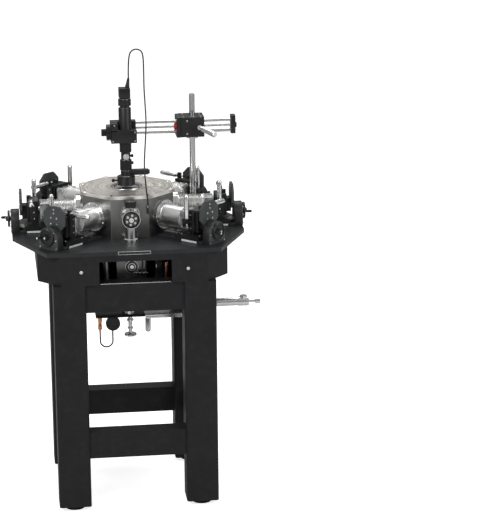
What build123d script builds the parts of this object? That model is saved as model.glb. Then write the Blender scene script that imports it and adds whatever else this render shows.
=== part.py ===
from build123d import *
import os
from math import cos, sin, tan, radians

# Six-arm vacuum wafer probe station on a welded stand.
# Millimetres, +Z up, front towards -Y, origin on the floor under the middle of the stand.

# Stand
STAND_W = 508.0
LEG = 101.6
LEG_WALL = 4.0
LEG_BOTTOM = 16.0
STAND_TOP = 744.0
TOP_RAIL_H = 90.0
LOW_RAIL_BOTTOM = 175.0
LOW_RAIL_H = 84.0
RAIL_T = 60.0
RAIL_RECESS = 9.0
RAIL_WALL = 4.0
FOOT_R = 30.0
STEM_R = 10.0

# Deck and skirt
DECK_TOP = 850.0
DECK_T = 12.7
DECK_UNDER = DECK_TOP - DECK_T
DECK_FRONT_Y = -254.0
DECK_HALF_FRONT = 270.0
DECK_HALF_W = 370.0
DECK_CHAMFER_Y = 232.0
SKIRT_T = 6.0
SKIRT_HALF_FRONT = 227.0
SKIRT_HALF_W = 298.0
SKIRT_CHAMFER_Y = 81.0
WINDOW_W = 225.0
WINDOW_TOP = 818.0

# Vacuum chamber
CENTRE_Y = 60.0
CHAMBER_FLATS = 290.0
LID_FLATS = 297.0
LID_T = 10.0
LID_TOP = 984.0
CHAMBER_TOP = LID_TOP - LID_T
CAVITY_R = 122.0
FLOOR_T = 14.0
ARM_Z = 915.0
PORT_R = 22.0
APOTHEM = CHAMBER_FLATS / 2
VIEWPORT_R = 42.0
GLASS_T = 6.0
COLUMN_R = 20.0
CHUCK_R = 32.0
CHUCK_TOP = 896.0

# Probe arms, in arm coordinates: u runs out from the chamber's middle, v across, z up
ARM_AZIMUTHS = {
    "front_left": -45.0,
    "left": -90.0,
    "rear_left": -135.0,
    "front_right": 45.0,
    "right": 90.0,
    "rear_right": 135.0,
}
RIBBED = ("left", "right")
FIT = 0.05
X_TRAVEL = 51.0
Y_TRAVEL = 12.5
Z_TRAVEL = 9.0
FLANGE_R = 37.0
FLANGE_T = 18.0
BASE_IN, BASE_OUT = 168.0, 345.0
BASE_HALF_V = 42.0
BASE_T = 9.0
RAIL_TOP = DECK_TOP + BASE_T + 7.0
RAIL_HALF = 18.0
DOVETAIL = 3.0
SADDLE_IN, SADDLE_OUT = 236.0, 330.0
SADDLE_TOP = 873.0
BOX_IN, BOX_OUT = 246.0, 279.0
BOX_HALF = 29.0
UPRIGHT_IN, UPRIGHT_OUT = 284.0, 304.0
UPRIGHT_HALF = 34.0
UPRIGHT_TOP = 952.0
PLATE_T = 8.0
Z_PLATE_OUT = UPRIGHT_OUT + PLATE_T
Y_PLATE_OUT = Z_PLATE_OUT + FIT + PLATE_T
END_PLATE_IN, END_PLATE_OUT = 335.0, 343.0
END_PLATE_W = 86.0
END_PLATE_BOTTOM, END_PLATE_TOP = 905.0, 983.0
ARM_ROD_R = 10.0
PROBE_TIP_U = 64.0
HOUSING_OUT = 372.0
HOUSING_HALF = 38.0
SCREW_Z = 891.0
WHEEL_R = 27.0
THIMBLE_R = 7.5
THIMBLE_L = 76.0
SPINDLE_L = 22.0
CROSS_U, CROSS_Z = UPRIGHT_OUT + 4, 958.0
LIFT_U, LIFT_V = UPRIGHT_IN + 10, -54.0

# Microscope, boom and post
POST_X, POST_Y = 222.0, 135.0
POST_R = 9.5
POST_TOP = 1264.0
ROD_Y = CENTRE_Y + 34.0
ROD_UP_Z, ROD_LOW_Z, SCREW_ROD_Z = 1184.0, 1150.0, 1167.0
ROD_R = 5.0
HEAD_X0, HEAD_X1 = 178.0, 256.0
HEAD_Z0, HEAD_Z1 = 1134.0, 1198.0
HEAD_Y0, HEAD_Y1 = ROD_Y - 20.0, POST_Y + 20.0
YOKE_X = 346.0
SCOPE_R = 20.0
LENS_BOTTOM = 990.0
FOCUS_X0, FOCUS_X1 = -46.0, 36.0
FOCUS_Z0, FOCUS_Z1 = 1128.0, 1192.0

os.makedirs("parts", exist_ok=True)


def save(piece, node):
    piece.part.label = node
    export_step(piece.part, f"parts/{node}.step")


def arm_axes(azimuth):
    angle = radians(azimuth)
    outward = Vector(sin(angle), -cos(angle), 0)
    across = Vector(cos(angle), sin(angle), 0)
    return outward, across


def flat_plane(azimuth, z):
    """Level plane at height z; local x runs out along the arm, y across it."""
    outward, across = arm_axes(azimuth)
    return Plane(origin=(0, CENTRE_Y, z), x_dir=outward, z_dir=(0, 0, 1))


def face_plane(azimuth, u):
    """Upright plane square to the arm at u; local x runs across, y up, normal out."""
    outward, across = arm_axes(azimuth)
    origin = Vector(0, CENTRE_Y, 0) + outward * u
    return Plane(origin=origin, x_dir=across, z_dir=outward)


def side_plane(azimuth, v):
    """Upright plane along the arm at v; local x runs out along the arm, y down, normal across."""
    outward, across = arm_axes(azimuth)
    origin = Vector(0, CENTRE_Y, 0) + across * v
    return Plane(origin=origin, x_dir=outward, z_dir=across)


def block(azimuth, u0, u1, v0, v1, z0, z1, mode=Mode.ADD):
    """Rectangular block between two corners in arm coordinates, in the open part."""
    with BuildSketch(flat_plane(azimuth, z0)) as outline:
        with Locations(((u0 + u1) / 2, (v0 + v1) / 2)):
            Rectangle(u1 - u0, v1 - v0)
    extrude(outline.sketch, amount=z1 - z0, mode=mode)


def radial_cylinder(azimuth, u0, u1, radius, v=0.0, z=ARM_Z, mode=Mode.ADD):
    """Round bar or bore that runs along the arm from u0 to u1."""
    with BuildSketch(face_plane(azimuth, u0)) as outline:
        with Locations((v, z)):
            Circle(radius)
    extrude(outline.sketch, amount=u1 - u0, mode=mode)


def cross_cylinder(azimuth, v0, v1, radius, u, z, mode=Mode.ADD):
    """Round bar or bore that runs across the arm from v0 to v1."""
    with BuildSketch(side_plane(azimuth, v0)) as outline:
        with Locations((u, -z)):
            Circle(radius)
    extrude(outline.sketch, amount=v1 - v0, mode=mode)


CENTRE_AXIS = Axis((0, CENTRE_Y, 0), (0, 0, 1))


def centre_upright(x=0.0, y=CENTRE_Y):
    """Upright plane facing the front through (x, y); local x runs right, y up."""
    return Plane(origin=(x, y, 0), x_dir=(1, 0, 0), z_dir=(0, -1, 0))


def octagon(across_flats):
    RegularPolygon(across_flats / 2, 8, major_radius=False, rotation=22.5)


def chamfered_outline(half_front, half_w, front_y, back_y, chamfer):
    """Long octagon that is symmetric left to right."""
    right = [
        (half_front, front_y),
        (half_w, front_y + chamfer),
        (half_w, back_y - chamfer),
        (half_front, back_y),
    ]
    left = [(-x, y) for x, y in reversed(right)]
    Polygon(*(right + left), align=None)


# Stand frame: four square tubes with end plates, joined by box rails on four sides
def stand_rail(z0, height, along_x, side):
    centre = side * (STAND_W / 2 - RAIL_RECESS - RAIL_T / 2)
    span = STAND_W - 2 * LEG + 2
    size = (span, RAIL_T) if along_x else (RAIL_T, span)
    place = (0, centre) if along_x else (centre, 0)
    with BuildSketch(Plane.XY.offset(z0)) as outer:
        with Locations(place):
            Rectangle(*size)
    extrude(outer.sketch, amount=height)
    hollow = (span, RAIL_T - 2 * RAIL_WALL) if along_x else (RAIL_T - 2 * RAIL_WALL, span)
    with BuildSketch(Plane.XY.offset(z0 + RAIL_WALL)) as inner:
        with Locations(place):
            Rectangle(*hollow)
    extrude(inner.sketch, amount=height - 2 * RAIL_WALL, mode=Mode.SUBTRACT)


LEG_CENTRE = STAND_W / 2 - LEG / 2

with BuildPart() as stand_frame:
    with BuildSketch(Plane.XY.offset(LEG_BOTTOM)):
        with GridLocations(2 * LEG_CENTRE, 2 * LEG_CENTRE, 2, 2):
            RectangleRounded(LEG, LEG, 9)
    extrude(amount=STAND_TOP - LEG_BOTTOM)
    for rail_z, rail_h in ((STAND_TOP - TOP_RAIL_H, TOP_RAIL_H), (LOW_RAIL_BOTTOM, LOW_RAIL_H)):
        for rail_side in (-1, 1):
            stand_rail(rail_z, rail_h, True, rail_side)
            stand_rail(rail_z, rail_h, False, rail_side)
    with BuildSketch(Plane.XY.offset(LEG_BOTTOM + LEG_WALL)):
        with GridLocations(2 * LEG_CENTRE, 2 * LEG_CENTRE, 2, 2):
            RectangleRounded(LEG - 2 * LEG_WALL, LEG - 2 * LEG_WALL, 5)
    extrude(amount=STAND_TOP - LEG_BOTTOM - 2 * LEG_WALL, mode=Mode.SUBTRACT)
    with BuildSketch(Plane.XY.offset(LEG_BOTTOM)):
        with GridLocations(2 * LEG_CENTRE, 2 * LEG_CENTRE, 2, 2):
            Circle(STEM_R)
    extrude(amount=LEG_WALL, mode=Mode.SUBTRACT)
save(stand_frame, "stand_frame")

# Levelling feet: a round pad with a threaded stem through each leg's end plate
with BuildPart() as one_foot:
    with BuildSketch(Plane.XZ):
        with BuildLine():
            Polyline(
                (0, 0),
                (FOOT_R, 0),
                (FOOT_R, 6),
                (STEM_R + 6, 11),
                (STEM_R + 6, LEG_BOTTOM),
                (STEM_R, LEG_BOTTOM),
                (STEM_R, LEG_BOTTOM + 26),
                (0, LEG_BOTTOM + 26),
                close=True,
            )
        make_face()
    revolve(axis=Axis.Z)
with BuildPart() as levelling_feet:
    with GridLocations(2 * LEG_CENTRE, 2 * LEG_CENTRE, 2, 2):
        add(one_foot.part)
save(levelling_feet, "levelling_feet")

# Skirt: a folded sheet box between stand and deck, with an open notch in front
with BuildPart() as skirt_box:
    with BuildSketch(Plane.XY.offset(STAND_TOP)):
        chamfered_outline(SKIRT_HALF_FRONT, SKIRT_HALF_W, DECK_FRONT_Y, -DECK_FRONT_Y, SKIRT_CHAMFER_Y)
        offset(amount=-SKIRT_T, mode=Mode.SUBTRACT)
    extrude(amount=DECK_UNDER - STAND_TOP)
    with BuildSketch(Plane.XZ.offset(-DECK_FRONT_Y - 2 * SKIRT_T)):
        with Locations((2.5, (STAND_TOP + WINDOW_TOP) / 2)):
            Rectangle(WINDOW_W, WINDOW_TOP - STAND_TOP)
    extrude(amount=3 * SKIRT_T, mode=Mode.SUBTRACT)
save(skirt_box, "skirt_box")

# Deck plate: a long octagon with a bore for the cryostat column
DECK_BACK_Y = 2 * CENTRE_Y - DECK_FRONT_Y
with BuildPart() as deck_plate:
    with BuildSketch(Plane.XY.offset(DECK_UNDER)):
        chamfered_outline(DECK_HALF_FRONT, DECK_HALF_W, DECK_FRONT_Y, DECK_BACK_Y, DECK_CHAMFER_Y)
        with Locations((0, CENTRE_Y)):
            Circle(COLUMN_R + 8, mode=Mode.SUBTRACT)
    extrude(amount=DECK_T)
    chamfer(deck_plate.faces().sort_by(Axis.Z)[-1].outer_wire().edges(), 1.0)
save(deck_plate, "deck_plate")

# Chamber body: octagonal block bored out, with six arm ports and one front port
FRONT_PORT_R = 14.0
with BuildPart() as chamber_body:
    with BuildSketch(Plane.XY.offset(DECK_TOP)):
        with Locations((0, CENTRE_Y)):
            octagon(CHAMBER_FLATS)
    extrude(amount=CHAMBER_TOP - DECK_TOP)
    fillet(chamber_body.edges().filter_by(Axis.Z), 4)
    with BuildSketch(Plane.XY.offset(DECK_TOP + FLOOR_T)):
        with Locations((0, CENTRE_Y)):
            Circle(CAVITY_R)
    extrude(amount=CHAMBER_TOP - DECK_TOP - FLOOR_T, mode=Mode.SUBTRACT)
    with BuildSketch(Plane.XY.offset(DECK_TOP)):
        with Locations((0, CENTRE_Y)):
            Circle(COLUMN_R)
    extrude(amount=FLOOR_T, mode=Mode.SUBTRACT)
    for arm_azimuth in ARM_AZIMUTHS.values():
        radial_cylinder(arm_azimuth, CAVITY_R - 20, APOTHEM + 5, PORT_R, mode=Mode.SUBTRACT)
    radial_cylinder(0, CAVITY_R - 20, APOTHEM + 5, FRONT_PORT_R, mode=Mode.SUBTRACT)
save(chamber_body, "chamber_body")

# Lid: octagonal plate with a stepped seat for the viewport glass
with BuildPart() as chamber_lid:
    with BuildSketch(Plane.XY.offset(CHAMBER_TOP)):
        with Locations((0, CENTRE_Y)):
            octagon(LID_FLATS)
            Circle(VIEWPORT_R - 5, mode=Mode.SUBTRACT)
    extrude(amount=LID_T)
    with BuildSketch(Plane.XY.offset(LID_TOP - GLASS_T)):
        with Locations((0, CENTRE_Y)):
            Circle(VIEWPORT_R)
    extrude(amount=GLASS_T, mode=Mode.SUBTRACT)
    chamfer(chamber_lid.faces().sort_by(Axis.Z)[-1].outer_wire().edges(), 1.2)
save(chamber_lid, "chamber_lid")

with BuildPart() as viewport_glass:
    with BuildSketch(Plane.XY.offset(LID_TOP - GLASS_T)):
        with Locations((0, CENTRE_Y)):
            Circle(VIEWPORT_R)
    extrude(amount=GLASS_T)
save(viewport_glass, "viewport_glass")

# Sample stage: chuck and thermal shield on the cryostat column, which passes the deck
SHIELD_R = 52.0
COLUMN_BOTTOM = 760.0
with BuildPart() as sample_stage:
    with BuildSketch(centre_upright()):
        with BuildLine():
            Polyline(
                (0, COLUMN_BOTTOM),
                (COLUMN_R, COLUMN_BOTTOM),
                (COLUMN_R, 868),
                (SHIELD_R, 868),
                (SHIELD_R, 884),
                (SHIELD_R - 3, 884),
                (SHIELD_R - 3, 872),
                (COLUMN_R - 4, 872),
                (COLUMN_R - 4, CHUCK_TOP - 12),
                (CHUCK_R, CHUCK_TOP - 12),
                (CHUCK_R, CHUCK_TOP),
                (0, CHUCK_TOP),
                close=True,
            )
        make_face()
    revolve(axis=CENTRE_AXIS)
save(sample_stage, "sample_stage")

# Chamber flanges: a bolted flange pair on each arm port
with BuildPart() as chamber_flanges:
    for arm_azimuth in ARM_AZIMUTHS.values():
        radial_cylinder(arm_azimuth, APOTHEM, APOTHEM + FLANGE_T, FLANGE_R)
        radial_cylinder(arm_azimuth, APOTHEM, APOTHEM + FLANGE_T, PORT_R, mode=Mode.SUBTRACT)
save(chamber_flanges, "chamber_flanges")

# Front port: flange, right-angle valve body and a foreline pipe down to the deck
VALVE_U = 174.0
VALVE_Y = CENTRE_Y - VALVE_U
PORT_Z = 928.0
PIPE_R = 19.0
BONNET_TOP = 956.0
KNOB_R = 18.0
KNOB_H = 19.0
with BuildPart() as front_valve:
    with BuildSketch(centre_upright(0, VALVE_Y)):
        with BuildLine():
            Polyline(
                (0, DECK_TOP),
                (PIPE_R + 3, DECK_TOP),
                (PIPE_R + 3, DECK_TOP + 4),
                (PIPE_R, DECK_TOP + 7),
                (PIPE_R, 897),
                (PIPE_R + 3, 902),
                (PIPE_R + 3, 934),
                (PIPE_R - 3, 942),
                (9, 944),
                (9, BONNET_TOP),
                (0, BONNET_TOP),
                close=True,
            )
        make_face()
    revolve(axis=Axis((0, VALVE_Y, 0), (0, 0, 1)))
    radial_cylinder(0, APOTHEM, APOTHEM + 11, 30, z=PORT_Z)
    radial_cylinder(0, APOTHEM + 11, VALVE_U, 15, z=PORT_Z)
    radial_cylinder(0, APOTHEM, VALVE_U, 8, z=PORT_Z, mode=Mode.SUBTRACT)
    with BuildSketch(Plane.XY.offset(930)):
        with Locations((0, VALVE_Y)):
            Circle(4.05)
    extrude(amount=BONNET_TOP - 930, mode=Mode.SUBTRACT)
save(front_valve, "front_valve")

with BuildPart() as front_valve_knob:
    with BuildSketch(Plane.XY.offset(BONNET_TOP + FIT)):
        with Locations((0, VALVE_Y)):
            Circle(KNOB_R)
        with Locations((0, VALVE_Y)):
            with PolarLocations(KNOB_R + 1, 12):
                Circle(2.6, mode=Mode.SUBTRACT)
    extrude(amount=KNOB_H)
    chamfer(front_valve_knob.faces().sort_by(Axis.Z)[-1].outer_wire().edges(), 1.5)
    with BuildSketch(Plane.XY.offset(931)):
        with Locations((0, VALVE_Y)):
            Circle(4)
    extrude(amount=BONNET_TOP + FIT - 931)
save(front_valve_knob, "front_valve_knob")


# Manipulators
def trapezoid_bar(azimuth, u0, u1, half_low, half_high, z0, z1, mode=Mode.ADD):
    """Dovetail bar along the arm, wider at the top than at the bottom."""
    with BuildSketch(face_plane(azimuth, u0)) as outline:
        Polygon((-half_low, z0), (half_low, z0), (half_high, z1), (-half_high, z1), align=None)
    extrude(outline.sketch, amount=u1 - u0, mode=mode)


def manipulator_base(azimuth):
    """Deck rail with its dovetail and the arch-topped drive housing at its outer end."""
    with BuildPart() as base:
        block(azimuth, BASE_IN, BASE_OUT, -BASE_HALF_V, BASE_HALF_V, DECK_TOP, DECK_TOP + BASE_T)
        trapezoid_bar(
            azimuth, BASE_IN, BASE_OUT, RAIL_HALF, RAIL_HALF + DOVETAIL, DECK_TOP + BASE_T, RAIL_TOP
        )
        with BuildSketch(face_plane(azimuth, BASE_OUT)) as arch:
            with Locations((0, DECK_TOP + 17)):
                Rectangle(2 * HOUSING_HALF, 34)
            with Locations((0, DECK_TOP + 34)):
                Circle(HOUSING_HALF)
            with Locations((0, DECK_TOP - 10)):
                Rectangle(3 * HOUSING_HALF, 20, mode=Mode.SUBTRACT)
        extrude(arch.sketch, amount=HOUSING_OUT - BASE_OUT)
        radial_cylinder(azimuth, BASE_OUT + 5, HOUSING_OUT, 5 + FIT, z=SCREW_Z, mode=Mode.SUBTRACT)
    return base


def x_stage(azimuth):
    """Saddle on the deck dovetail, with a windowed upright and the vertical micrometer's bracket."""
    with BuildPart() as stage:
        block(azimuth, SADDLE_IN, SADDLE_OUT, -44, 44, DECK_TOP + BASE_T + FIT, SADDLE_TOP)
        trapezoid_bar(
            azimuth,
            SADDLE_IN,
            SADDLE_OUT,
            RAIL_HALF + FIT,
            RAIL_HALF + DOVETAIL + FIT,
            DECK_TOP + BASE_T,
            RAIL_TOP + FIT,
            mode=Mode.SUBTRACT,
        )
        block(azimuth, UPRIGHT_IN, UPRIGHT_OUT, -UPRIGHT_HALF, UPRIGHT_HALF, SADDLE_TOP, UPRIGHT_TOP)
        block(azimuth, UPRIGHT_IN, UPRIGHT_OUT, -24, 24, ARM_Z - 21, ARM_Z + 21, mode=Mode.SUBTRACT)
        block(azimuth, UPRIGHT_IN, UPRIGHT_IN + 5, -64, -UPRIGHT_HALF, 905, 930)
        block(azimuth, UPRIGHT_IN, UPRIGHT_IN + 18, -64, -44, 915, 930)
        with BuildSketch(flat_plane(azimuth, 915)) as bore:
            with Locations((LIFT_U, LIFT_V)):
                Circle(3 + FIT)
        extrude(bore.sketch, amount=15, mode=Mode.SUBTRACT)
    return stage


def z_stage(azimuth):
    """Vertical slide that wraps the upright's edges and carries the cross micrometer's bracket."""
    with BuildPart() as stage:
        block(azimuth, UPRIGHT_OUT + FIT, Z_PLATE_OUT, -40, 40, 888, 948)
        for side in (-1, 1):
            v_in, v_out = side * (UPRIGHT_HALF + FIT), side * 40
            block(azimuth, UPRIGHT_OUT - 13, UPRIGHT_OUT + 1, min(v_in, v_out), max(v_in, v_out), 888, 948)
        block(azimuth, UPRIGHT_OUT, Z_PLATE_OUT, -24, 24, ARM_Z - 12, ARM_Z + 12, mode=Mode.SUBTRACT)
        block(azimuth, UPRIGHT_OUT - 13, UPRIGHT_OUT - 3, -60, -40, 888, 896)
        block(azimuth, UPRIGHT_OUT + FIT, Z_PLATE_OUT, 28, 40, 948, 968)
        cross_cylinder(azimuth, 28, 40, 3 + FIT, CROSS_U, CROSS_Z, mode=Mode.SUBTRACT)
    return stage


def y_stage(azimuth):
    """Cross slide with the octagonal end plate, the arm tube, its vacuum box and the probe."""
    with BuildPart() as stage:
        block(azimuth, Z_PLATE_OUT + FIT, Y_PLATE_OUT, -32, 32, 888, 948)
        for z0, z1, v0, v1 in ((948 + FIT, 953, -32, 10), (883, 888 - FIT, -30, 30)):
            block(azimuth, UPRIGHT_OUT + 2, Y_PLATE_OUT, v0, v1, z0, z1)
            block(azimuth, Z_PLATE_OUT + FIT, Y_PLATE_OUT, v0, v1, min(z0, 940), max(z1, 896))
        block(azimuth, UPRIGHT_OUT + 2, Y_PLATE_OUT, -8, 0, 953, 964)
        block(azimuth, Y_PLATE_OUT, END_PLATE_IN, -18, 18, 893, 937)
        with BuildSketch(face_plane(azimuth, END_PLATE_IN)) as plate:
            with Locations((0, (END_PLATE_BOTTOM + END_PLATE_TOP) / 2)):
                octagon(END_PLATE_W)
        extrude(plate.sketch, amount=END_PLATE_OUT - END_PLATE_IN)
        radial_cylinder(azimuth, BOX_OUT, Z_PLATE_OUT + 1, ARM_ROD_R)
        block(azimuth, BOX_IN, BOX_OUT, -BOX_HALF, BOX_HALF, ARM_Z - BOX_HALF, ARM_Z + BOX_HALF)
        radial_cylinder(azimuth, APOTHEM, BOX_IN, 6)
        radial_cylinder(azimuth, 100, APOTHEM, 3)
        with BuildSketch(face_plane(azimuth, PROBE_TIP_U)) as tip:
            with Locations((0, ARM_Z - 6)):
                Circle(0.5)
        with BuildSketch(face_plane(azimuth, 100)) as root:
            with Locations((0, ARM_Z)):
                Circle(2.5)
        loft(sections=[tip.sketch.face(), root.sketch.face()])
    return stage


def ribbed_sleeve(azimuth, u0, u1, pitch=6.0):
    """Welded bellows: a thin wall that zigzags between two radii."""
    count = round((u1 - u0 - 8) / pitch)
    outside = [(u0, 0), (u0, 31), (u0 + 4, 31)]
    for i in range(count):
        start = u0 + 4 + i * pitch
        outside += [(start + pitch / 2, 26), (start + pitch, 31)]
    outside += [(u1, 31), (u1, 0)]
    with BuildSketch(side_plane(azimuth, 0)) as half:
        with Locations((0, -ARM_Z)):
            Polygon(*[(u, -r) for u, r in outside], align=None)
        with Locations(((u0 + u1) / 2, -ARM_Z - 12)):
            Rectangle(u1 - u0, 24, mode=Mode.SUBTRACT)
    outward, _ = arm_axes(azimuth)
    revolve(half.sketch, axis=Axis((0, CENTRE_Y, ARM_Z), outward))


# Sleeves: bellows between the chamber flanges and the arms' vacuum boxes
with BuildPart() as arm_bellows:
    for arm_name, arm_azimuth in ARM_AZIMUTHS.items():
        if arm_name in RIBBED:
            ribbed_sleeve(arm_azimuth, APOTHEM + FLANGE_T, BOX_IN)
        else:
            radial_cylinder(arm_azimuth, APOTHEM + FLANGE_T, BOX_IN, 31)
            radial_cylinder(arm_azimuth, APOTHEM + FLANGE_T, BOX_IN, 28, mode=Mode.SUBTRACT)
save(arm_bellows, "arm_bellows")

with BuildPart() as manipulator_bases:
    for arm_azimuth in ARM_AZIMUTHS.values():
        add(manipulator_base(arm_azimuth).part)
save(manipulator_bases, "manipulator_bases")


def micrometer(foot, axis):
    """Micrometer that stands on foot and points along axis: spindle, sleeve and round-tipped thimble."""
    with BuildPart() as thimble:
        with BuildSketch(Plane(origin=foot - axis * SPINDLE_L, z_dir=axis)) as spindle:
            Circle(3)
        extrude(spindle.sketch, amount=SPINDLE_L)
        with BuildSketch(Plane(origin=foot, z_dir=axis)) as sleeve:
            Circle(THIMBLE_R - 1)
        extrude(sleeve.sketch, amount=10)
        with BuildSketch(Plane(origin=foot + axis * 10, z_dir=axis)) as barrel:
            Circle(THIMBLE_R)
        extrude(barrel.sketch, amount=THIMBLE_L - 10)
        fillet(thimble.edges().sort_by(Axis(foot, axis))[-1], THIMBLE_R - 1)
    return thimble


def drive_wheel(azimuth):
    """Hand wheel of the long travel with its shaft and a crank knob."""
    with BuildPart() as wheel:
        radial_cylinder(azimuth, BASE_OUT + 6, HOUSING_OUT + 1, 5, z=SCREW_Z)
        radial_cylinder(azimuth, HOUSING_OUT + FIT, HOUSING_OUT + 3, 9, z=SCREW_Z)
        radial_cylinder(azimuth, HOUSING_OUT + 3, HOUSING_OUT + 10, WHEEL_R, z=SCREW_Z)
        radial_cylinder(azimuth, HOUSING_OUT + 10, HOUSING_OUT + 16, 8, z=SCREW_Z)
        radial_cylinder(azimuth, HOUSING_OUT + 10, HOUSING_OUT + 32, 4.5, v=-18, z=SCREW_Z)
    return wheel


for arm_name, arm_azimuth in ARM_AZIMUTHS.items():
    arm_out, arm_across = arm_axes(arm_azimuth)
    middle = Vector(0, CENTRE_Y, 0)
    lift_foot = middle + arm_out * LIFT_U + arm_across * LIFT_V + Vector(0, 0, 930 + FIT)
    cross_foot = middle + arm_out * CROSS_U + arm_across * (40 + FIT) + Vector(0, 0, CROSS_Z)
    save(x_stage(arm_azimuth), f"x_stage_{arm_name}")
    save(z_stage(arm_azimuth), f"z_stage_{arm_name}")
    save(y_stage(arm_azimuth), f"arm_{arm_name}")
    save(micrometer(lift_foot, Vector(0, 0, 1)), f"lift_micrometer_{arm_name}")
    save(micrometer(cross_foot, arm_across), f"cross_micrometer_{arm_name}")
    save(drive_wheel(arm_azimuth), f"drive_wheel_{arm_name}")

# Boom post: a polished column with a flange on the deck and a stop collar under the boom head
with BuildPart() as boom_post:
    for radius, z0, z1 in ((24, DECK_TOP, DECK_TOP + 12), (POST_R, DECK_TOP, POST_TOP), (18.5, 1120, HEAD_Z0)):
        with BuildSketch(Plane.XY.offset(z0)):
            with Locations((POST_X, POST_Y)):
                Circle(radius)
        extrude(amount=z1 - z0)
    chamfer(boom_post.edges().sort_by(Axis.Z)[-1], 1.5)
save(boom_post, "boom_post")


def bar_x(x0, x1, radius, y, z, mode=Mode.ADD):
    """Round bar or bore along x."""
    with BuildSketch(Plane.YZ.offset(x0)) as outline:
        with Locations((y, z)):
            Circle(radius)
    extrude(outline.sketch, amount=x1 - x0, mode=mode)


def bar_y(y0, y1, radius, x, z, mode=Mode.ADD):
    """Round bar or bore along y."""
    with BuildSketch(Plane.XZ.offset(-y0)) as outline:
        with Locations((x, z)):
            Circle(radius)
    extrude(outline.sketch, amount=y0 - y1, mode=mode)


def bar_z(z0, z1, radius, x, y, mode=Mode.ADD):
    """Round bar or bore along z."""
    with BuildSketch(Plane.XY.offset(z0)) as outline:
        with Locations((x, y)):
            Circle(radius)
    extrude(outline.sketch, amount=z1 - z0, mode=mode)


def box(x0, x1, y0, y1, z0, z1, mode=Mode.ADD):
    """Rectangular block between two corners."""
    with BuildSketch(Plane.XY.offset(z0)) as outline:
        with Locations(((x0 + x1) / 2, (y0 + y1) / 2)):
            Rectangle(x1 - x0, y1 - y0)
    extrude(outline.sketch, amount=z1 - z0, mode=mode)


# Boom head: a block that turns on the post and guides the rods, with a lead screw nut
LEVER_X, LEVER_Z = 240.0, 1167.0
with BuildPart() as boom_head:
    box(HEAD_X0, HEAD_X1, HEAD_Y0, HEAD_Y1, HEAD_Z0 + FIT, HEAD_Z1)
    chamfer(boom_head.edges().filter_by(Axis.Z), 3)
    bar_x(HEAD_X0 - 8, HEAD_X0, 9, ROD_Y, SCREW_ROD_Z)
    bar_z(HEAD_Z0, HEAD_Z1, POST_R + FIT, POST_X, POST_Y, mode=Mode.SUBTRACT)
    for rod_z in (ROD_UP_Z, ROD_LOW_Z):
        bar_x(HEAD_X0 - 10, HEAD_X1 + 1, ROD_R + FIT, ROD_Y, rod_z, mode=Mode.SUBTRACT)
    bar_x(HEAD_X0 - 10, HEAD_X1 + 1, 4 + FIT, ROD_Y, SCREW_ROD_Z, mode=Mode.SUBTRACT)
    bar_y(HEAD_Y0 - 1, HEAD_Y0 + 9, 4 + FIT, LEVER_X, LEVER_Z, mode=Mode.SUBTRACT)
save(boom_head, "boom_head")

with BuildPart() as clamp_lever:
    bar_y(HEAD_Y0 - 14, HEAD_Y0 + 8, 4, LEVER_X, LEVER_Z)
    bar_y(HEAD_Y0 - 14, HEAD_Y0 - FIT, 8, LEVER_X, LEVER_Z)
    with BuildSketch(Plane.XZ.offset(14 - HEAD_Y0)) as blade:
        with BuildLine():
            Polyline(
                (LEVER_X - 5, LEVER_Z - 4),
                (LEVER_X + 5, LEVER_Z - 4),
                (LEVER_X + 4, LEVER_Z - 44),
                (LEVER_X - 4, LEVER_Z - 44),
                close=True,
            )
        make_face()
    extrude(blade.sketch, amount=7)
save(clamp_lever, "clamp_lever")

# Boom: two guide rods and a lead screw between the yoke plate and the focus carrier
CARRIER_Y0, CARRIER_Y1 = CENTRE_Y + 20.0, CENTRE_Y + 48.0
KEY_HALF = 12.0
with BuildPart() as boom:
    box(FOCUS_X0, FOCUS_X1, CARRIER_Y0, CARRIER_Y1, FOCUS_Z0, FOCUS_Z1)
    box(-KEY_HALF - FIT, KEY_HALF + FIT, CARRIER_Y0, CARRIER_Y0 + 6 + FIT, FOCUS_Z0, FOCUS_Z1, mode=Mode.SUBTRACT)
    for rod_z in (ROD_UP_Z, ROD_LOW_Z):
        bar_x(FOCUS_X1 - 4, YOKE_X, ROD_R, ROD_Y, rod_z)
    bar_x(FOCUS_X1 - 4, YOKE_X, 4, ROD_Y, SCREW_ROD_Z)
    box(YOKE_X - 4, YOKE_X + 4, ROD_Y - 14, ROD_Y + 14, 1140, 1209)
    bar_x(YOKE_X + 4, YOKE_X + 9, 9, ROD_Y, SCREW_ROD_Z)
save(boom, "boom")

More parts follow.
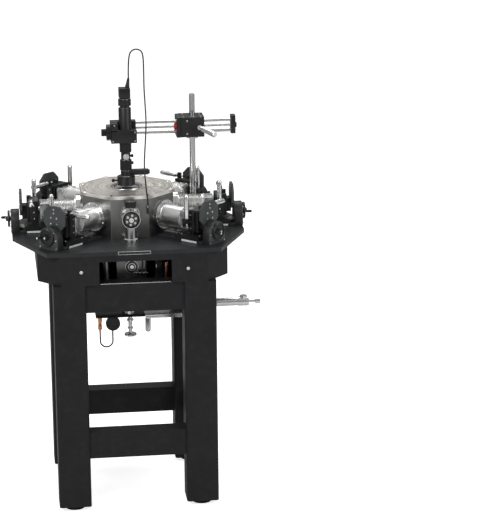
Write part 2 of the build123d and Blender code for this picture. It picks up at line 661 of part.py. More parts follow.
# Microscope: objective, zoom tube, focus block, camera and light arm on one axis
SCOPE_STEPS = (
    (28.5, LENS_BOTTOM, 1018),
    (17, 1018, 1038),
    (19, 1038, 1071),
    (15, 1071, 1097),
    (19, 1097, 1126),
    (SCOPE_R, 1126, 1240),
    (15, 1240, 1247),
    (20.5, 1247, 1268),
    (16, 1268, 1274),
)
CAMERA_Z0, CAMERA_Z1 = 1273.0, 1304.0
BOOT_TOP = 1335.0
with BuildPart() as microscope:
    with BuildSketch(centre_upright()) as tubes:
        for radius, z0, z1 in SCOPE_STEPS:
            with Locations((radius / 2, (z0 + z1) / 2)):
                Rectangle(radius, z1 - z0)
    revolve(axis=CENTRE_AXIS)
    box(FOCUS_X0, FOCUS_X1, CENTRE_Y - 22, CARRIER_Y0 - FIT, FOCUS_Z0, 1170)
    box(FOCUS_X0, -24, CENTRE_Y - 22, CARRIER_Y0 - FIT, 1160, FOCUS_Z1)
    box(-KEY_HALF, KEY_HALF, CARRIER_Y0 - 3, CARRIER_Y0 + 6, FOCUS_Z0, 1170)
    box(-18, 18, CENTRE_Y - 18, CENTRE_Y + 18, CAMERA_Z0, CAMERA_Z1)
    bar_z(CAMERA_Z1 - 1, CAMERA_Z1 + 14, 7, 9, CENTRE_Y)
    bar_z(CAMERA_Z1 + 13, BOOT_TOP, 4, 14, CENTRE_Y)
    bar_x(5, 71, 10.5, CENTRE_Y, 1029.7)
    bar_x(70, 76, 8, CENTRE_Y, 1029.7)
    bar_x(-38, -20, 3, CENTRE_Y, 1004)
    bar_x(-46, -37, 6, CENTRE_Y, 1004)
    bar_x(8, 24, 5, CENTRE_Y, 1083)
    bar_x(8, 25, 5, CENTRE_Y, 1060)
    bar_y(CENTRE_Y - 27, CENTRE_Y - 6, 10, 0, 1084)
    bar_x(FOCUS_X0 - 1, FOCUS_X0 + 14, 4 + FIT, CENTRE_Y, 1161, mode=Mode.SUBTRACT)
save(microscope, "microscope")

with BuildPart() as focus_knob:
    bar_x(FOCUS_X0 - 14, FOCUS_X0 + 13, 4, CENTRE_Y, 1161)
    bar_x(FOCUS_X0 - 14, FOCUS_X0 - FIT, 26, CENTRE_Y, 1161)
    bar_x(FOCUS_X0 - 30, FOCUS_X0 - 14, 12, CENTRE_Y, 1161)
save(focus_knob, "focus_knob")


def fillet_radii(points):
    """Largest comfortable bend radius at each inner point of a run of straight pieces."""
    radii = []
    for before, here, after in zip(points, points[1:], points[2:]):
        one, two = Vector(*here) - Vector(*before), Vector(*after) - Vector(*here)
        turn = radians(one.get_angle(two))
        radii.append(0.45 * min(one.length, two.length) / tan(turn / 2))
    return radii


def cord(points, radius, name):
    """Round cord of straight runs and tangent arcs; prints its bend radii."""
    radii = fillet_radii(points)
    print(name, "bend radii", [round(r, 1) for r in radii])
    start, second = Vector(*points[0]), Vector(*points[1])
    with BuildPart() as tube:
        with BuildLine() as route:
            FilletPolyline(*points, radius=radii)
        with BuildSketch(Plane(origin=start, z_dir=second - start)) as section:
            Circle(radius)
        sweep(section.sketch, path=route.line)
    return tube


CAMERA_CABLE_R = 2.25
CAMERA_CABLE = [
    (14, 60, 1335),
    (14, 60, 1368),
    (18, 60, 1413),
    (31, 60, 1426),
    (49, 60, 1426),
    (62, 60, 1413),
    (63, 58, 1357),
    (62, 50, 1307),
    (63, 35, 1263),
    (64, 10, 1210),
    (60, -15, 1165),
    (55, -35, 1123),
    (51, -52, 1088),
    (50, -66, 1059),
    (52, -80, 1024),
    (53, -92, 995),
    (57, -92, 975),
    (57, -92, 955),
]
save(cord(CAMERA_CABLE, CAMERA_CABLE_R, "camera cable"), "camera_cable")

with BuildPart() as camera_plug:
    bar_z(928, 955, 5, 57, -92)
    chamfer(camera_plug.edges().filter_by(GeomType.CIRCLE), 1)
save(camera_plug, "camera_plug")

# Under the deck: cryostat tail with its port, the pump neck and the line to the right
with BuildPart() as vacuum_manifold:
    bar_z(745, DECK_UNDER, 55, 0, CENTRE_Y)
    bar_z(755, DECK_UNDER, COLUMN_R + 5, 0, CENTRE_Y, mode=Mode.SUBTRACT)
    bar_y(CENTRE_Y - 68, CENTRE_Y - 40, 19, 0, 790)
    bar_z(755, DECK_UNDER, COLUMN_R + 5, 0, CENTRE_Y, mode=Mode.SUBTRACT)
    bar_z(560, 746, 22, 0, CENTRE_Y)
    bar_z(750, DECK_UNDER, 10.5, -75, CENTRE_Y)
    box(-70, -40, CENTRE_Y - 5, CENTRE_Y + 5, 755, 775)
    bar_x(10, 358, 14, CENTRE_Y, 584)
    bar_x(358, 392, 15.5, CENTRE_Y, 584)
    bar_z(590, 604, 12, 375, CENTRE_Y)
    bar_x(392, 422, 5, CENTRE_Y, 584)
    bar_x(414, 430, 9, CENTRE_Y, 584)
save(vacuum_manifold, "vacuum_manifold")

# Fitting shelf: a plate under the neck that carries the hose fittings
with BuildPart() as fitting_shelf:
    box(-110, 180, CENTRE_Y - 30, CENTRE_Y + 30, 554, 560)
    bar_z(531, 554, 25, -55, CENTRE_Y)
    bar_z(502, 554, 7, -96, CENTRE_Y)
    bar_z(492, 554, 4, 3, CENTRE_Y)
    bar_z(510, 540, 9, 3, CENTRE_Y)
    bar_z(484, 492, 20, 3, CENTRE_Y)
    bar_z(495, 554, 8, 61, CENTRE_Y)
save(fitting_shelf, "fitting_shelf")

HOSE_R = 2.5
HOSE = [(-96, 60, 502), (-96, 60, 460), (-84, 60, 448), (-67, 60, 448), (-55, 60, 460), (-55, 60, 531)]
save(cord(HOSE, HOSE_R, "hose"), "hose_loops")
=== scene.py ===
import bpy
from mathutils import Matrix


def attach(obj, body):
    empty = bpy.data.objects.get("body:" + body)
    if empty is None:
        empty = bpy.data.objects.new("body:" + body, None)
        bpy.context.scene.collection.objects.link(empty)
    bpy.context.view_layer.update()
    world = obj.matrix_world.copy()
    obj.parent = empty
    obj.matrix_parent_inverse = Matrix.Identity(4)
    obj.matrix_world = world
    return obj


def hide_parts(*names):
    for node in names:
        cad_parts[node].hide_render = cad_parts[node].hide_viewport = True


bl_info = {
    "name": "Wafer Probe Station",
    "version": (1, 0, 0),
    "blender": (4, 5, 0),
    "location": "3D View > Sidebar > Probe Station",
    "description": "Dresses the packed model of a six-arm vacuum wafer probe station",
    "category": "Object",
}

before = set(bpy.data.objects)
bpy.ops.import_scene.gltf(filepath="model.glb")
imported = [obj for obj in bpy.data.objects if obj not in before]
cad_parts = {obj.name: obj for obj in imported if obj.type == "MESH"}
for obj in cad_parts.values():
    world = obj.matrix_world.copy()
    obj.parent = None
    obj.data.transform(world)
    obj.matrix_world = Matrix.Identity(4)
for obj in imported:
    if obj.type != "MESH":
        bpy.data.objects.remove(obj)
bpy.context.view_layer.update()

from math import cos, pi, radians, sin

import bmesh
import bpy
from mathutils import Matrix, Vector

ROOT = "station"
CENTRE = Vector((0, 0.06, 0))
ARMS = {
    "front_left": -45.0,
    "left": -90.0,
    "rear_left": -135.0,
    "front_right": 45.0,
    "right": 90.0,
    "rear_right": 135.0,
}
RIBBED = ("left", "right")
DECK_Z = 0.85
ARM_Z = 0.915
SCREW_Z = 0.891
ARCH_Z = 0.884
ARCH_RADIUS = 0.038
LID_TOP = 0.984
FRONT_LID_SCREWS = (5, 6)
LIGHT_Z = 1.0297
BOOM_Y = 0.094
BOOM_Z = 1.167
ROD_HEIGHTS = (1.184, 1.15)
SHELF_TOP = 0.554
TAIL_Y = -0.15
SHARP_ANGLE = 32
GLOW_TO_CAMERA = 0.75
CAMERA_PLACE = (-0.4485, -6.7473, 2.557)
CAMERA_HEADING = -7.09
CAMERA_PITCH = 90 - 14.87
CAMERA_ROLL = -0.43
UP = (0, 0, 1)
PLUS_X, MINUS_X, MINUS_Y = (1, 0, 0), (-1, 0, 0), (0, -1, 0)


def colour(label, use, default):
    """Colour property with its place in the panel."""
    return bpy.props.FloatVectorProperty(name=label, description=use, subtype="COLOR", default=default)


class StationColours(bpy.types.PropertyGroup):
    frame_paint: colour("Frame paint", "Powder coat of the stand and the skirt", (0.012, 0.012, 0.013))
    deck_paint: colour(
        "Deck finish", "Dark satin finish of the deck and the manipulator bases", (0.016, 0.017, 0.018),
    )
    anodised: colour(
        "Black anodised", "Finish of the stages, the boom head and the microscope", (0.012, 0.012, 0.0125),
    )
    end_plate: colour("End plate", "Hard grey finish of the octagonal end plates", (0.042, 0.047, 0.047))
    housing: colour("Drive housing", "Dark grey side walls of the drive housings", (0.014, 0.014, 0.0135))
    steel: colour("Stainless steel", "Chamber, flanges, arm tubes and pump line", (0.62, 0.62, 0.61))
    alloy: colour("Satin chrome", "Micrometer thimbles, rods and screws", (0.75, 0.75, 0.74))
    brass: colour("Copper fittings", "Hose connectors and the plated chuck", (0.72, 0.36, 0.2))
    collar: colour("Collar", "Red nut collar on the boom head", (0.35, 0.015, 0.012))
    rubber: colour("Cable and hoses", "Rubber of the cable, the hoses and the feet", (0.014, 0.014, 0.015))


class StationSizes(bpy.types.PropertyGroup):
    edge: bpy.props.FloatProperty(
        name="Edge break",
        description="Bevel on machined edges",
        default=0.0007,
        min=0.0001,
        max=0.003,
        unit="LENGTH",
    )
    screw_radius: bpy.props.FloatProperty(
        name="Screw head",
        description="Head radius of the small cap screws",
        default=0.0028,
        min=0.001,
        max=0.006,
        unit="LENGTH",
    )
    round_steps: bpy.props.IntProperty(
        name="Round steps",
        description="Segments round a turned piece",
        default=56,
        min=16,
        max=128,
    )


class StageSettings(bpy.types.PropertyGroup):
    focal_length: bpy.props.FloatProperty(
        name="Focal length",
        description="Camera lens in millimetres on a 36 mm sensor",
        default=153.07,
        min=20,
        max=400,
    )
    key_power: bpy.props.FloatProperty(
        name="Key light",
        description="Power of the large soft light at the left",
        default=150.0,
        min=0,
        unit="POWER",
    )
    fill_power: bpy.props.FloatProperty(
        name="Fill light",
        description="Power of the soft light at the right",
        default=70.0,
        min=0,
        unit="POWER",
    )


def colours():
    return bpy.context.scene.station_colours


def sizes():
    return bpy.context.scene.station_sizes


# Shader groups


def socket_name(key):
    return key.replace("_", " ").title()


def socket(tree, name, kind, outward=False, value=None):
    made = tree.interface.new_socket(
        name=name,
        in_out="OUTPUT" if outward else "INPUT",
        socket_type=kind,
    )
    if value is not None:
        made.default_value = value


def noise(tree, vector, scale, detail=4.0):
    """Noise texture on the given vector; scale is a number or a socket."""
    node = tree.nodes.new("ShaderNodeTexNoise")
    node.inputs["Detail"].default_value = detail
    tree.links.new(vector, node.inputs["Vector"])
    if isinstance(scale, float):
        node.inputs["Scale"].default_value = scale
    else:
        tree.links.new(scale, node.inputs["Scale"])
    return node.outputs["Fac"]


def spread(tree, value, low, high, new_low=0.0, new_high=1.0):
    node = tree.nodes.new("ShaderNodeMapRange")
    node.inputs["From Min"].default_value = low
    node.inputs["From Max"].default_value = high
    node.inputs["To Min"].default_value = new_low
    node.inputs["To Max"].default_value = new_high
    tree.links.new(value, node.inputs["Value"])
    return node.outputs["Result"]


def feed(tree, pairs):
    """Links or sets each input, as its value is a socket or a number."""
    for value, slot in pairs:
        if isinstance(value, bpy.types.NodeSocket):
            tree.links.new(value, slot)
        else:
            slot.default_value = value


def mixed(tree, factor, first, second, mode="MIX"):
    node = tree.nodes.new("ShaderNodeMix")
    node.data_type = "RGBA"
    node.blend_type = mode
    feed(tree, ((factor, node.inputs[0]), (first, node.inputs[6]), (second, node.inputs[7])))
    return node.outputs[2]


def arithmetic(tree, operation, first, second):
    node = tree.nodes.new("ShaderNodeMath")
    node.operation = operation
    feed(tree, zip((first, second), node.inputs))
    return node.outputs[0]


def surface_group(name, **numbers):
    """Group that takes a vector, a colour and the numbers, and gives colour, roughness and height."""
    tree = bpy.data.node_groups.new(name, "ShaderNodeTree")
    socket(tree, "Vector", "NodeSocketVector")
    socket(tree, "Colour", "NodeSocketColor")
    for key, value in numbers.items():
        socket(tree, socket_name(key), "NodeSocketFloat", value=value)
    socket(tree, "Colour", "NodeSocketColor", outward=True)
    socket(tree, "Roughness", "NodeSocketFloat", outward=True)
    socket(tree, "Height", "NodeSocketFloat", outward=True)
    return tree, tree.nodes.new("NodeGroupInput").outputs, tree.nodes.new("NodeGroupOutput").inputs


def coated_surface_group():
    """Paint, anodising or moulded plastic: a fine grain, faint clouds and light dust in patches."""
    tree, given, made = surface_group("Coated Surface", roughness=0.4, grain_scale=900.0, dust=0.1)
    grain = noise(tree, given["Vector"], given["Grain Scale"], 3.0)
    cloud = noise(tree, given["Vector"], 14.0, 5.0)
    patch = spread(tree, noise(tree, given["Vector"], 46.0, 8.0), 0.5, 0.72)
    lighter = mixed(tree, 1.0, given["Colour"], (1.18, 1.18, 1.18, 1), "MULTIPLY")
    varied = mixed(tree, spread(tree, cloud, 0.35, 0.65), given["Colour"], lighter)
    dust = arithmetic(tree, "MULTIPLY", patch, given["Dust"])
    tree.links.new(mixed(tree, dust, varied, (0.2, 0.2, 0.19, 1)), made["Colour"])
    rough = arithmetic(tree, "ADD", given["Roughness"], spread(tree, cloud, 0.3, 0.7, -0.06, 0.06))
    tree.links.new(arithmetic(tree, "ADD", rough, arithmetic(tree, "MULTIPLY", dust, 0.5)), made["Roughness"])
    tree.links.new(grain, made["Height"])


def worked_metal_group():
    """Bare metal: grain stretched along one axis, soft smudges and small scratches."""
    tree, given, made = surface_group("Worked Metal", roughness=0.2, smudge=0.5)
    grain = noise(tree, given["Vector"], 60.0, 5.0)
    smudge = noise(tree, given["Vector"], 3.0, 6.0)
    darker = mixed(tree, 1.0, given["Colour"], (0.93, 0.93, 0.94, 1), "MULTIPLY")
    tree.links.new(mixed(tree, spread(tree, grain, 0.35, 0.65), darker, given["Colour"]), made["Colour"])
    mark = arithmetic(tree, "MULTIPLY", spread(tree, smudge, 0.4, 0.7, 0.0, 0.2), given["Smudge"])
    fine = spread(tree, grain, 0.3, 0.7, -0.03, 0.05)
    tree.links.new(
        arithmetic(tree, "ADD", arithmetic(tree, "ADD", given["Roughness"], mark), fine),
        made["Roughness"],
    )
    tree.links.new(grain, made["Height"])


def shaded(name, group, colour, metallic, roughness, bump, stretch=(1, 1, 1), gloss=0.5, **values):
    """Principled material whose colour, roughness and relief come from one of the shader groups."""
    material = bpy.data.materials.new(name)
    material.use_nodes = True
    tree = material.node_tree
    shader = tree.nodes["Principled BSDF"]
    shader.inputs["Metallic"].default_value = metallic
    shader.inputs["Specular IOR Level"].default_value = gloss
    place = tree.nodes.new("ShaderNodeTexCoord")
    mapping = tree.nodes.new("ShaderNodeMapping")
    mapping.inputs["Scale"].default_value = stretch
    tree.links.new(place.outputs["Object"], mapping.inputs["Vector"])
    made = tree.nodes.new("ShaderNodeGroup")
    made.node_tree = bpy.data.node_groups[group]
    tree.links.new(mapping.outputs["Vector"], made.inputs["Vector"])
    made.inputs["Colour"].default_value = (*colour, 1)
    made.inputs["Roughness"].default_value = roughness
    for key, value in values.items():
        made.inputs[socket_name(key)].default_value = value
    relief = tree.nodes.new("ShaderNodeBump")
    relief.inputs["Strength"].default_value = bump
    relief.inputs["Distance"].default_value = 0.0002
    tree.links.new(made.outputs["Height"], relief.inputs["Height"])
    tree.links.new(made.outputs["Colour"], shader.inputs["Base Color"])
    tree.links.new(made.outputs["Roughness"], shader.inputs["Roughness"])
    tree.links.new(relief.outputs["Normal"], shader.inputs["Normal"])
    return material


def ring_noise(tree, radius, scale, detail):
    """Noise that varies with the radius only."""
    node = tree.nodes.new("ShaderNodeTexNoise")
    node.noise_dimensions = "1D"
    node.inputs["Scale"].default_value = scale
    node.inputs["Detail"].default_value = detail
    tree.links.new(radius.outputs["Value"], node.inputs["W"])
    return node.outputs["Fac"]


def lid_material_with_painted_sheen():
    """Polished steel with the faint rings that turning leaves round the lid's middle in its relief, and warm
    bands of painted sheen in its colour.
    """
    material = shaded(
        "lid_steel_painted_sheen", "Worked Metal", colours().steel, 1.0, 0.3, 0.05, (20, 20, 20), smudge=0.6,
    )
    tree = material.node_tree
    mapping = next(node for node in tree.nodes if node.type == "MAPPING")
    centred = tree.nodes.new("ShaderNodeMapping")
    centred.inputs["Location"].default_value = -CENTRE
    centred.inputs["Scale"].default_value = (1, 1, 0)
    tree.links.new(mapping.inputs["Vector"].links[0].from_socket, centred.inputs["Vector"])
    radius = tree.nodes.new("ShaderNodeVectorMath")
    radius.operation = "LENGTH"
    tree.links.new(centred.outputs["Vector"], radius.inputs[0])
    rings, sheen_bands = [ring_noise(tree, radius, scale, detail) for scale, detail in ((900.0, 3.0), (90.0, 6.0))]
    relief = next(node for node in tree.nodes if node.type == "BUMP")
    relief.inputs["Strength"].default_value = 0.3
    tree.links.new(rings, relief.inputs["Height"])
    # Painted sheen: the base colour swings by radius between dull grey and warm near-white, standing in for
    # the light that the polished lid reflects in rings.
    painted_sheen_tint = mixed(tree, spread(tree, sheen_bands, 0.3, 0.7), (0.5, 0.47, 0.42, 1), (0.96, 0.93, 0.88, 1))
    tree.links.new(painted_sheen_tint, tree.nodes["Principled BSDF"].inputs["Base Color"])
    return material


def viewport_glass_material():
    material = bpy.data.materials.new("viewport_glass")
    material.use_nodes = True
    shader = material.node_tree.nodes["Principled BSDF"]
    shader.inputs["Base Color"].default_value = (0.82, 0.88, 0.88, 1)
    shader.inputs["Transmission Weight"].default_value = 1.0
    shader.inputs["IOR"].default_value = 1.46
    shader.inputs["Roughness"].default_value = 0.02
    return material


def make_materials():
    paint = colours()
    coated_surface_group()
    worked_metal_group()
    coat, metal = "Coated Surface", "Worked Metal"
    shaded(
        "frame_powder_coat", coat, paint.frame_paint, 0.0, 0.5, 0.25, gloss=0.12, grain_scale=700.0,
        dust=0.02,
    )
    shaded("deck_satin", coat, paint.deck_paint, 0.0, 0.4, 0.12, gloss=0.2, grain_scale=1500.0, dust=0.02)
    shaded("black_anodised", coat, paint.anodised, 0.0, 0.36, 0.1, gloss=0.28, grain_scale=2500.0, dust=0.02)
    shaded("grey_hardcoat", coat, paint.end_plate, 0.0, 0.42, 0.15, gloss=0.2, grain_scale=2500.0, dust=0.03)
    shaded("housing_grey", coat, paint.housing, 0.0, 0.45, 0.15, gloss=0.25, grain_scale=1800.0, dust=0.04)
    shaded(
        "knob_plastic", coat, (0.011, 0.011, 0.012), 0.0, 0.34, 0.08, gloss=0.3, grain_scale=2000.0,
        dust=0.02,
    )
    shaded("cable_rubber", coat, paint.rubber, 0.0, 0.5, 0.1, gloss=0.25, grain_scale=2600.0, dust=0.03)
    shaded("collar_red", coat, paint.collar, 0.0, 0.3, 0.08, gloss=0.5, grain_scale=2500.0, dust=0.03)
    shaded("bare_label", coat, (0.7, 0.7, 0.68), 0.0, 0.35, 0.05, gloss=0.5, grain_scale=2500.0, dust=0.05)
    shaded("label_ink", coat, (0.016, 0.016, 0.016), 0.0, 0.5, 0.05, gloss=0.2, grain_scale=2500.0, dust=0.02)
    shaded("brushed_steel", metal, paint.steel, 1.0, 0.24, 0.07, (24, 24, 3), smudge=0.6)
    # Painted shade: a darker copy of the stainless steel, 0.26 against 0.62, standing in for the dim
    # surroundings that the chamber's sides reflect; the tail plate under the deck shares it.
    shaded("chamber_steel_painted_shade", metal, (0.26, 0.26, 0.25), 1.0, 0.34, 0.06, (9, 9, 4), smudge=0.4)
    shaded("sleeve_steel", metal, paint.alloy, 1.0, 0.3, 0.1, (18, 18, 18), smudge=0.5)
    shaded("polished_steel", metal, paint.steel, 1.0, 0.12, 0.05, (12, 12, 12), smudge=0.5)
    shaded("satin_chrome", metal, paint.alloy, 1.0, 0.2, 0.06, (20, 20, 20), smudge=0.4)
    shaded("dark_screw", metal, (0.09, 0.09, 0.095), 1.0, 0.3, 0.08, (30, 30, 30), smudge=0.3)
    shaded("copper_fitting", metal, paint.brass, 1.0, 0.24, 0.1, (20, 20, 20), smudge=0.6)
    lid_material_with_painted_sheen()
    viewport_glass_material()


# Modelling helpers


def arm_space(azimuth):
    """Matrix from arm coordinates (out, across, up) to the row frame."""
    angle = radians(azimuth)
    turn = Matrix(((sin(angle), cos(angle), 0), (-cos(angle), sin(angle), 0), (0, 0, 1)))
    return Matrix.Translation(CENTRE) @ turn.to_4x4()


def pointing(origin, direction):
    """Matrix that puts local z along direction at origin."""
    return Matrix.Translation(origin) @ Vector(direction).to_track_quat("Z", "Y").to_matrix().to_4x4()


def facing_out(u):
    """Matrix that stands an outline (across, up) on end at the distance u, with its thickness outwards."""
    return Matrix(((0, 0, 1, u), (1, 0, 0, 0), (0, 1, 0, 0), (0, 0, 0, 1)))


def round_places(count, radius, first=0.0):
    """Evenly spaced places on a circle, the first at the given angle in degrees."""
    angles = [radians(first + 360 / count * i) for i in range(count)]
    return [(radius * cos(angle), radius * sin(angle)) for angle in angles]


def bevelled(made, edges, offset, segments):
    bmesh.ops.bevel(
        made, geom=edges, offset=offset, affect="EDGES", segments=segments, profile=0.5, material=-1
    )


def spun(made, profile, steps):
    """Spins (radius, height) pairs about local z, into made."""
    verts = [made.verts.new((r, 0, h)) for r, h in profile]
    edges = [made.edges.new(pair) for pair in zip(verts, verts[1:])]
    bmesh.ops.spin(
        made,
        geom=verts + edges,
        cent=(0, 0, 0),
        axis=UP,
        angle=2 * pi,
        steps=steps,
        use_merge=True,
    )


class Piece:
    """A mesh under construction."""

    def __init__(self, name, space=None):
        self.name = name
        self.space = space or Matrix.Identity(4)
        self.bm = bmesh.new()
        self.slot = 0

    def placed(self, made, place):
        bmesh.ops.remove_doubles(made, verts=made.verts, dist=1e-6)
        bmesh.ops.recalc_face_normals(made, faces=made.faces)
        for face in made.faces:
            face.material_index = self.slot
        bmesh.ops.transform(made, matrix=self.space @ place, verts=made.verts)
        kept = bpy.data.meshes.new("shape")
        made.to_mesh(kept)
        made.free()
        self.bm.from_mesh(kept)
        bpy.data.meshes.remove(kept)
        return self

    def turned(self, profile, place=Matrix.Identity(4), steps=None):
        """Spins (radius, height) pairs about local z."""
        made = bmesh.new()
        spun(made, profile, steps or sizes().round_steps)
        return self.placed(made, place)

    def bar(self, radius, start, end, edge=None, steps=None):
        """Solid round bar from start to end with broken edges."""
        start, end = Vector(start), Vector(end)
        length = (end - start).length
        edge = min(sizes().edge if edge is None else edge, radius * 0.4, length * 0.4)
        profile = [(0, 0), (radius - edge, 0), (radius, edge)]
        profile += [(radius, length - edge), (radius - edge, length), (0, length)]
        return self.turned(profile, pointing(start, end - start), steps)

    def block(self, low, high, edge=None, segments=2):
        """Box between two corners with bevelled edges."""
        low, high = Vector(low), Vector(high)
        edge = sizes().edge if edge is None else edge
        made = bmesh.new()
        bmesh.ops.create_cube(made, size=1.0)
        bmesh.ops.scale(made, vec=high - low, verts=made.verts)
        bmesh.ops.translate(made, vec=(low + high) / 2, verts=made.verts)
        bevelled(made, made.edges[:], edge, segments)
        return self.placed(made, Matrix.Identity(4))

    def prism(self, outline, thickness, place, edge=None):
        """Plate of the given outline in local x and y, extruded along local z."""
        edge = sizes().edge if edge is None else edge
        made = bmesh.new()
        face = made.faces.new([made.verts.new((x, y, 0)) for x, y in outline])
        grown = bmesh.ops.extrude_face_region(made, geom=[face])
        top = [item for item in grown["geom"] if isinstance(item, bmesh.types.BMVert)]
        bmesh.ops.translate(made, vec=(0, 0, thickness), verts=top)
        bmesh.ops.recalc_face_normals(made, faces=made.faces)
        sharp = [item for item in made.edges if item.calc_face_angle(0) > radians(30)]
        bevelled(made, sharp, edge, 2)
        return self.placed(made, place)

    def cap_screw(self, origin, direction, radius=None, height=None):
        """Round screw head with a hexagon socket."""
        radius = radius or sizes().screw_radius
        height = height or radius * 0.8
        rim = radius * 0.15
        made = bmesh.new()
        spun(made, ((radius, 0), (radius, height - rim), (radius - rim, height)), 18)
        top = [item for item in made.edges if min(v.co.z for v in item.verts) > height - 1e-7]
        lift = Matrix.Translation((0, 0, height))
        before = set(made.edges)
        bmesh.ops.create_circle(made, cap_ends=False, radius=radius * 0.52, segments=6, matrix=lift)
        hexagon = [item for item in made.edges if item not in before]
        bmesh.ops.bridge_loops(made, edges=top + hexagon)
        sunk = bmesh.ops.extrude_edge_only(made, edges=hexagon)["geom"]
        low = [item for item in sunk if isinstance(item, bmesh.types.BMVert)]
        bmesh.ops.translate(made, vec=(0, 0, -height * 0.6), verts=low)
        made.faces.new(in_order(low))
        return self.placed(made, pointing(origin, direction))

    def finish(self, body, *materials, replaces=(), slot=None):
        mesh = bpy.data.meshes.new(self.name)
        self.bm.to_mesh(mesh)
        self.bm.free()
        for name in materials:
            mesh.materials.append(bpy.data.materials[name])
        mesh.shade_smooth()
        mesh.set_sharp_from_angle(angle=radians(SHARP_ANGLE))
        made = bpy.data.objects.new(self.name, mesh)
        bpy.context.scene.collection.objects.link(made)
        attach(made, body)
        if replaces:
            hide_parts(*replaces)
        return made


def in_order(verts):
    """The same vertices in order round the z axis."""
    return sorted(verts, key=lambda v: Vector((v.co.x, v.co.y)).angle_signed(Vector((1, 0))))


def knurled_profile(radius, low, high, pitch, depth):
    """Radius and height pairs of a ringed grip between two heights."""
    count = max(2, round((high - low) / pitch))
    step = (high - low) / count
    pairs = [(radius, low)]
    for i in range(count):
        pairs += [(radius, low + (i + 0.25) * step), (radius - depth, low + (i + 0.4) * step)]
        pairs += [(radius - depth, low + (i + 0.6) * step), (radius, low + (i + 0.75) * step)]
    return pairs + [(radius, high)]


def octagon_outline(width, lift):
    """Octagon of the given width across flats, with its middle lifted."""
    half, corner = width / 2, width / 2 * 0.41421
    return [
        (half, lift - corner),
        (half, lift + corner),
        (corner, lift + half),
        (-corner, lift + half),
        (-half, lift + corner),
        (-half, lift - corner),
        (-corner, lift - half),
        (corner, lift - half),
    ]


# Operators, one for each group of pieces


class STATION_OT_stage(bpy.types.Operator):
    """Floor, lights, world and the camera at the photograph's angle"""

    bl_idname = "station.stage"
    bl_label = "Stage and Camera"

    def execute(self, context):
        settings = context.scene.stage_settings
        floor_mesh = bpy.data.meshes.new("floor")
        made = bmesh.new()
        bmesh.ops.create_grid(made, x_segments=1, y_segments=1, size=14.0)
        made.to_mesh(floor_mesh)
        made.free()
        floor = bpy.data.objects.new("floor", floor_mesh)
        context.scene.collection.objects.link(floor)
        floor_mesh.materials.append(self.floor_material())
        self.lamp("key_light", (-2.6, -3.4, 3.4), (0, 0, 0.8), 2.6, settings.key_power)
        self.lamp("fill_light", (3.2, -2.4, 2.2), (0, 0, 0.8), 2.4, settings.fill_power)
        self.lamp("top_light", (0.2, 1.4, 3.8), (0, 0, 0.9), 2.6, settings.fill_power)
        self.world(context)
        self.camera(context, settings)
        context.scene.view_settings.view_transform = "Standard"
        return {"FINISHED"}

    def floor_material(self):
        """Glows for camera rays only, so that it looks white there and still takes the shadow."""
        material = bpy.data.materials.new("pale_floor")
        material.use_nodes = True
        shader = material.node_tree.nodes["Principled BSDF"]
        shader.inputs["Base Color"].default_value = (0.7, 0.7, 0.7, 1)
        shader.inputs["Roughness"].default_value = 0.9
        tree = material.node_tree
        path = tree.nodes.new("ShaderNodeLightPath")
        lift = tree.nodes.new("ShaderNodeMath")
        lift.operation = "MULTIPLY"
        lift.inputs[1].default_value = GLOW_TO_CAMERA
        tree.links.new(path.outputs["Is Camera Ray"], lift.inputs[0])
        glow = tree.nodes.new("ShaderNodeEmission")
        tree.links.new(lift.outputs[0], glow.inputs["Strength"])
        both = tree.nodes.new("ShaderNodeAddShader")
        tree.links.new(shader.outputs[0], both.inputs[0])
        tree.links.new(glow.outputs[0], both.inputs[1])
        tree.links.new(both.outputs[0], tree.nodes["Material Output"].inputs["Surface"])
        return material

    def lamp(self, name, place, target, size, power):
        data = bpy.data.lights.new(name, "AREA")
        data.shape = "DISK"
        data.size = size
        data.energy = power
        lamp = bpy.data.objects.new(name, data)
        bpy.context.scene.collection.objects.link(lamp)
        lamp.matrix_world = pointing(place, Vector(place) - Vector(target))

    def world(self, context):
        """Plain white behind the object; what lights it is a gradient that is darker low down."""
        world = bpy.data.worlds.new("studio_world")
        context.scene.world = world
        world.use_nodes = True
        tree = world.node_tree
        light = tree.nodes["Background"]
        way = tree.nodes.new("ShaderNodeTexCoord")
        split = tree.nodes.new("ShaderNodeSeparateXYZ")
        tree.links.new(way.outputs["Generated"], split.inputs["Vector"])
        tree.links.new(spread(tree, split.outputs["Z"], 0.0, 0.7, 0.07, 0.6), light.inputs["Strength"])
        light.inputs["Color"].default_value = (1, 1, 1, 1)
        plain = tree.nodes.new("ShaderNodeBackground")
        plain.inputs["Strength"].default_value = 1.0
        plain.inputs["Color"].default_value = (1, 1, 1, 1)
        path = tree.nodes.new("ShaderNodeLightPath")
        either = tree.nodes.new("ShaderNodeMath")
        either.operation = "MAXIMUM"
        tree.links.new(path.outputs["Is Camera Ray"], either.inputs[0])
        tree.links.new(path.outputs["Is Transmission Ray"], either.inputs[1])
        mix = tree.nodes.new("ShaderNodeMixShader")
        tree.links.new(either.outputs[0], mix.inputs["Fac"])
        tree.links.new(light.outputs[0], mix.inputs[1])
        tree.links.new(plain.outputs[0], mix.inputs[2])
        tree.links.new(mix.outputs[0], tree.nodes["World Output"].inputs["Surface"])

    def camera(self, context, settings):
        data = bpy.data.cameras.new("photo_camera")
        data.lens = settings.focal_length
        data.sensor_width = 36.0
        data.clip_end = 60.0
        camera = bpy.data.objects.new("photo_camera", data)
        context.scene.collection.objects.link(camera)
        heading = Matrix.Rotation(radians(CAMERA_HEADING), 4, "Z")
        pitch = Matrix.Rotation(radians(CAMERA_PITCH), 4, "X")
        roll = Matrix.Rotation(radians(CAMERA_ROLL), 4, "Z")
        camera.matrix_world = Matrix.Translation(CAMERA_PLACE) @ heading @ pitch @ roll
        context.scene.camera = camera


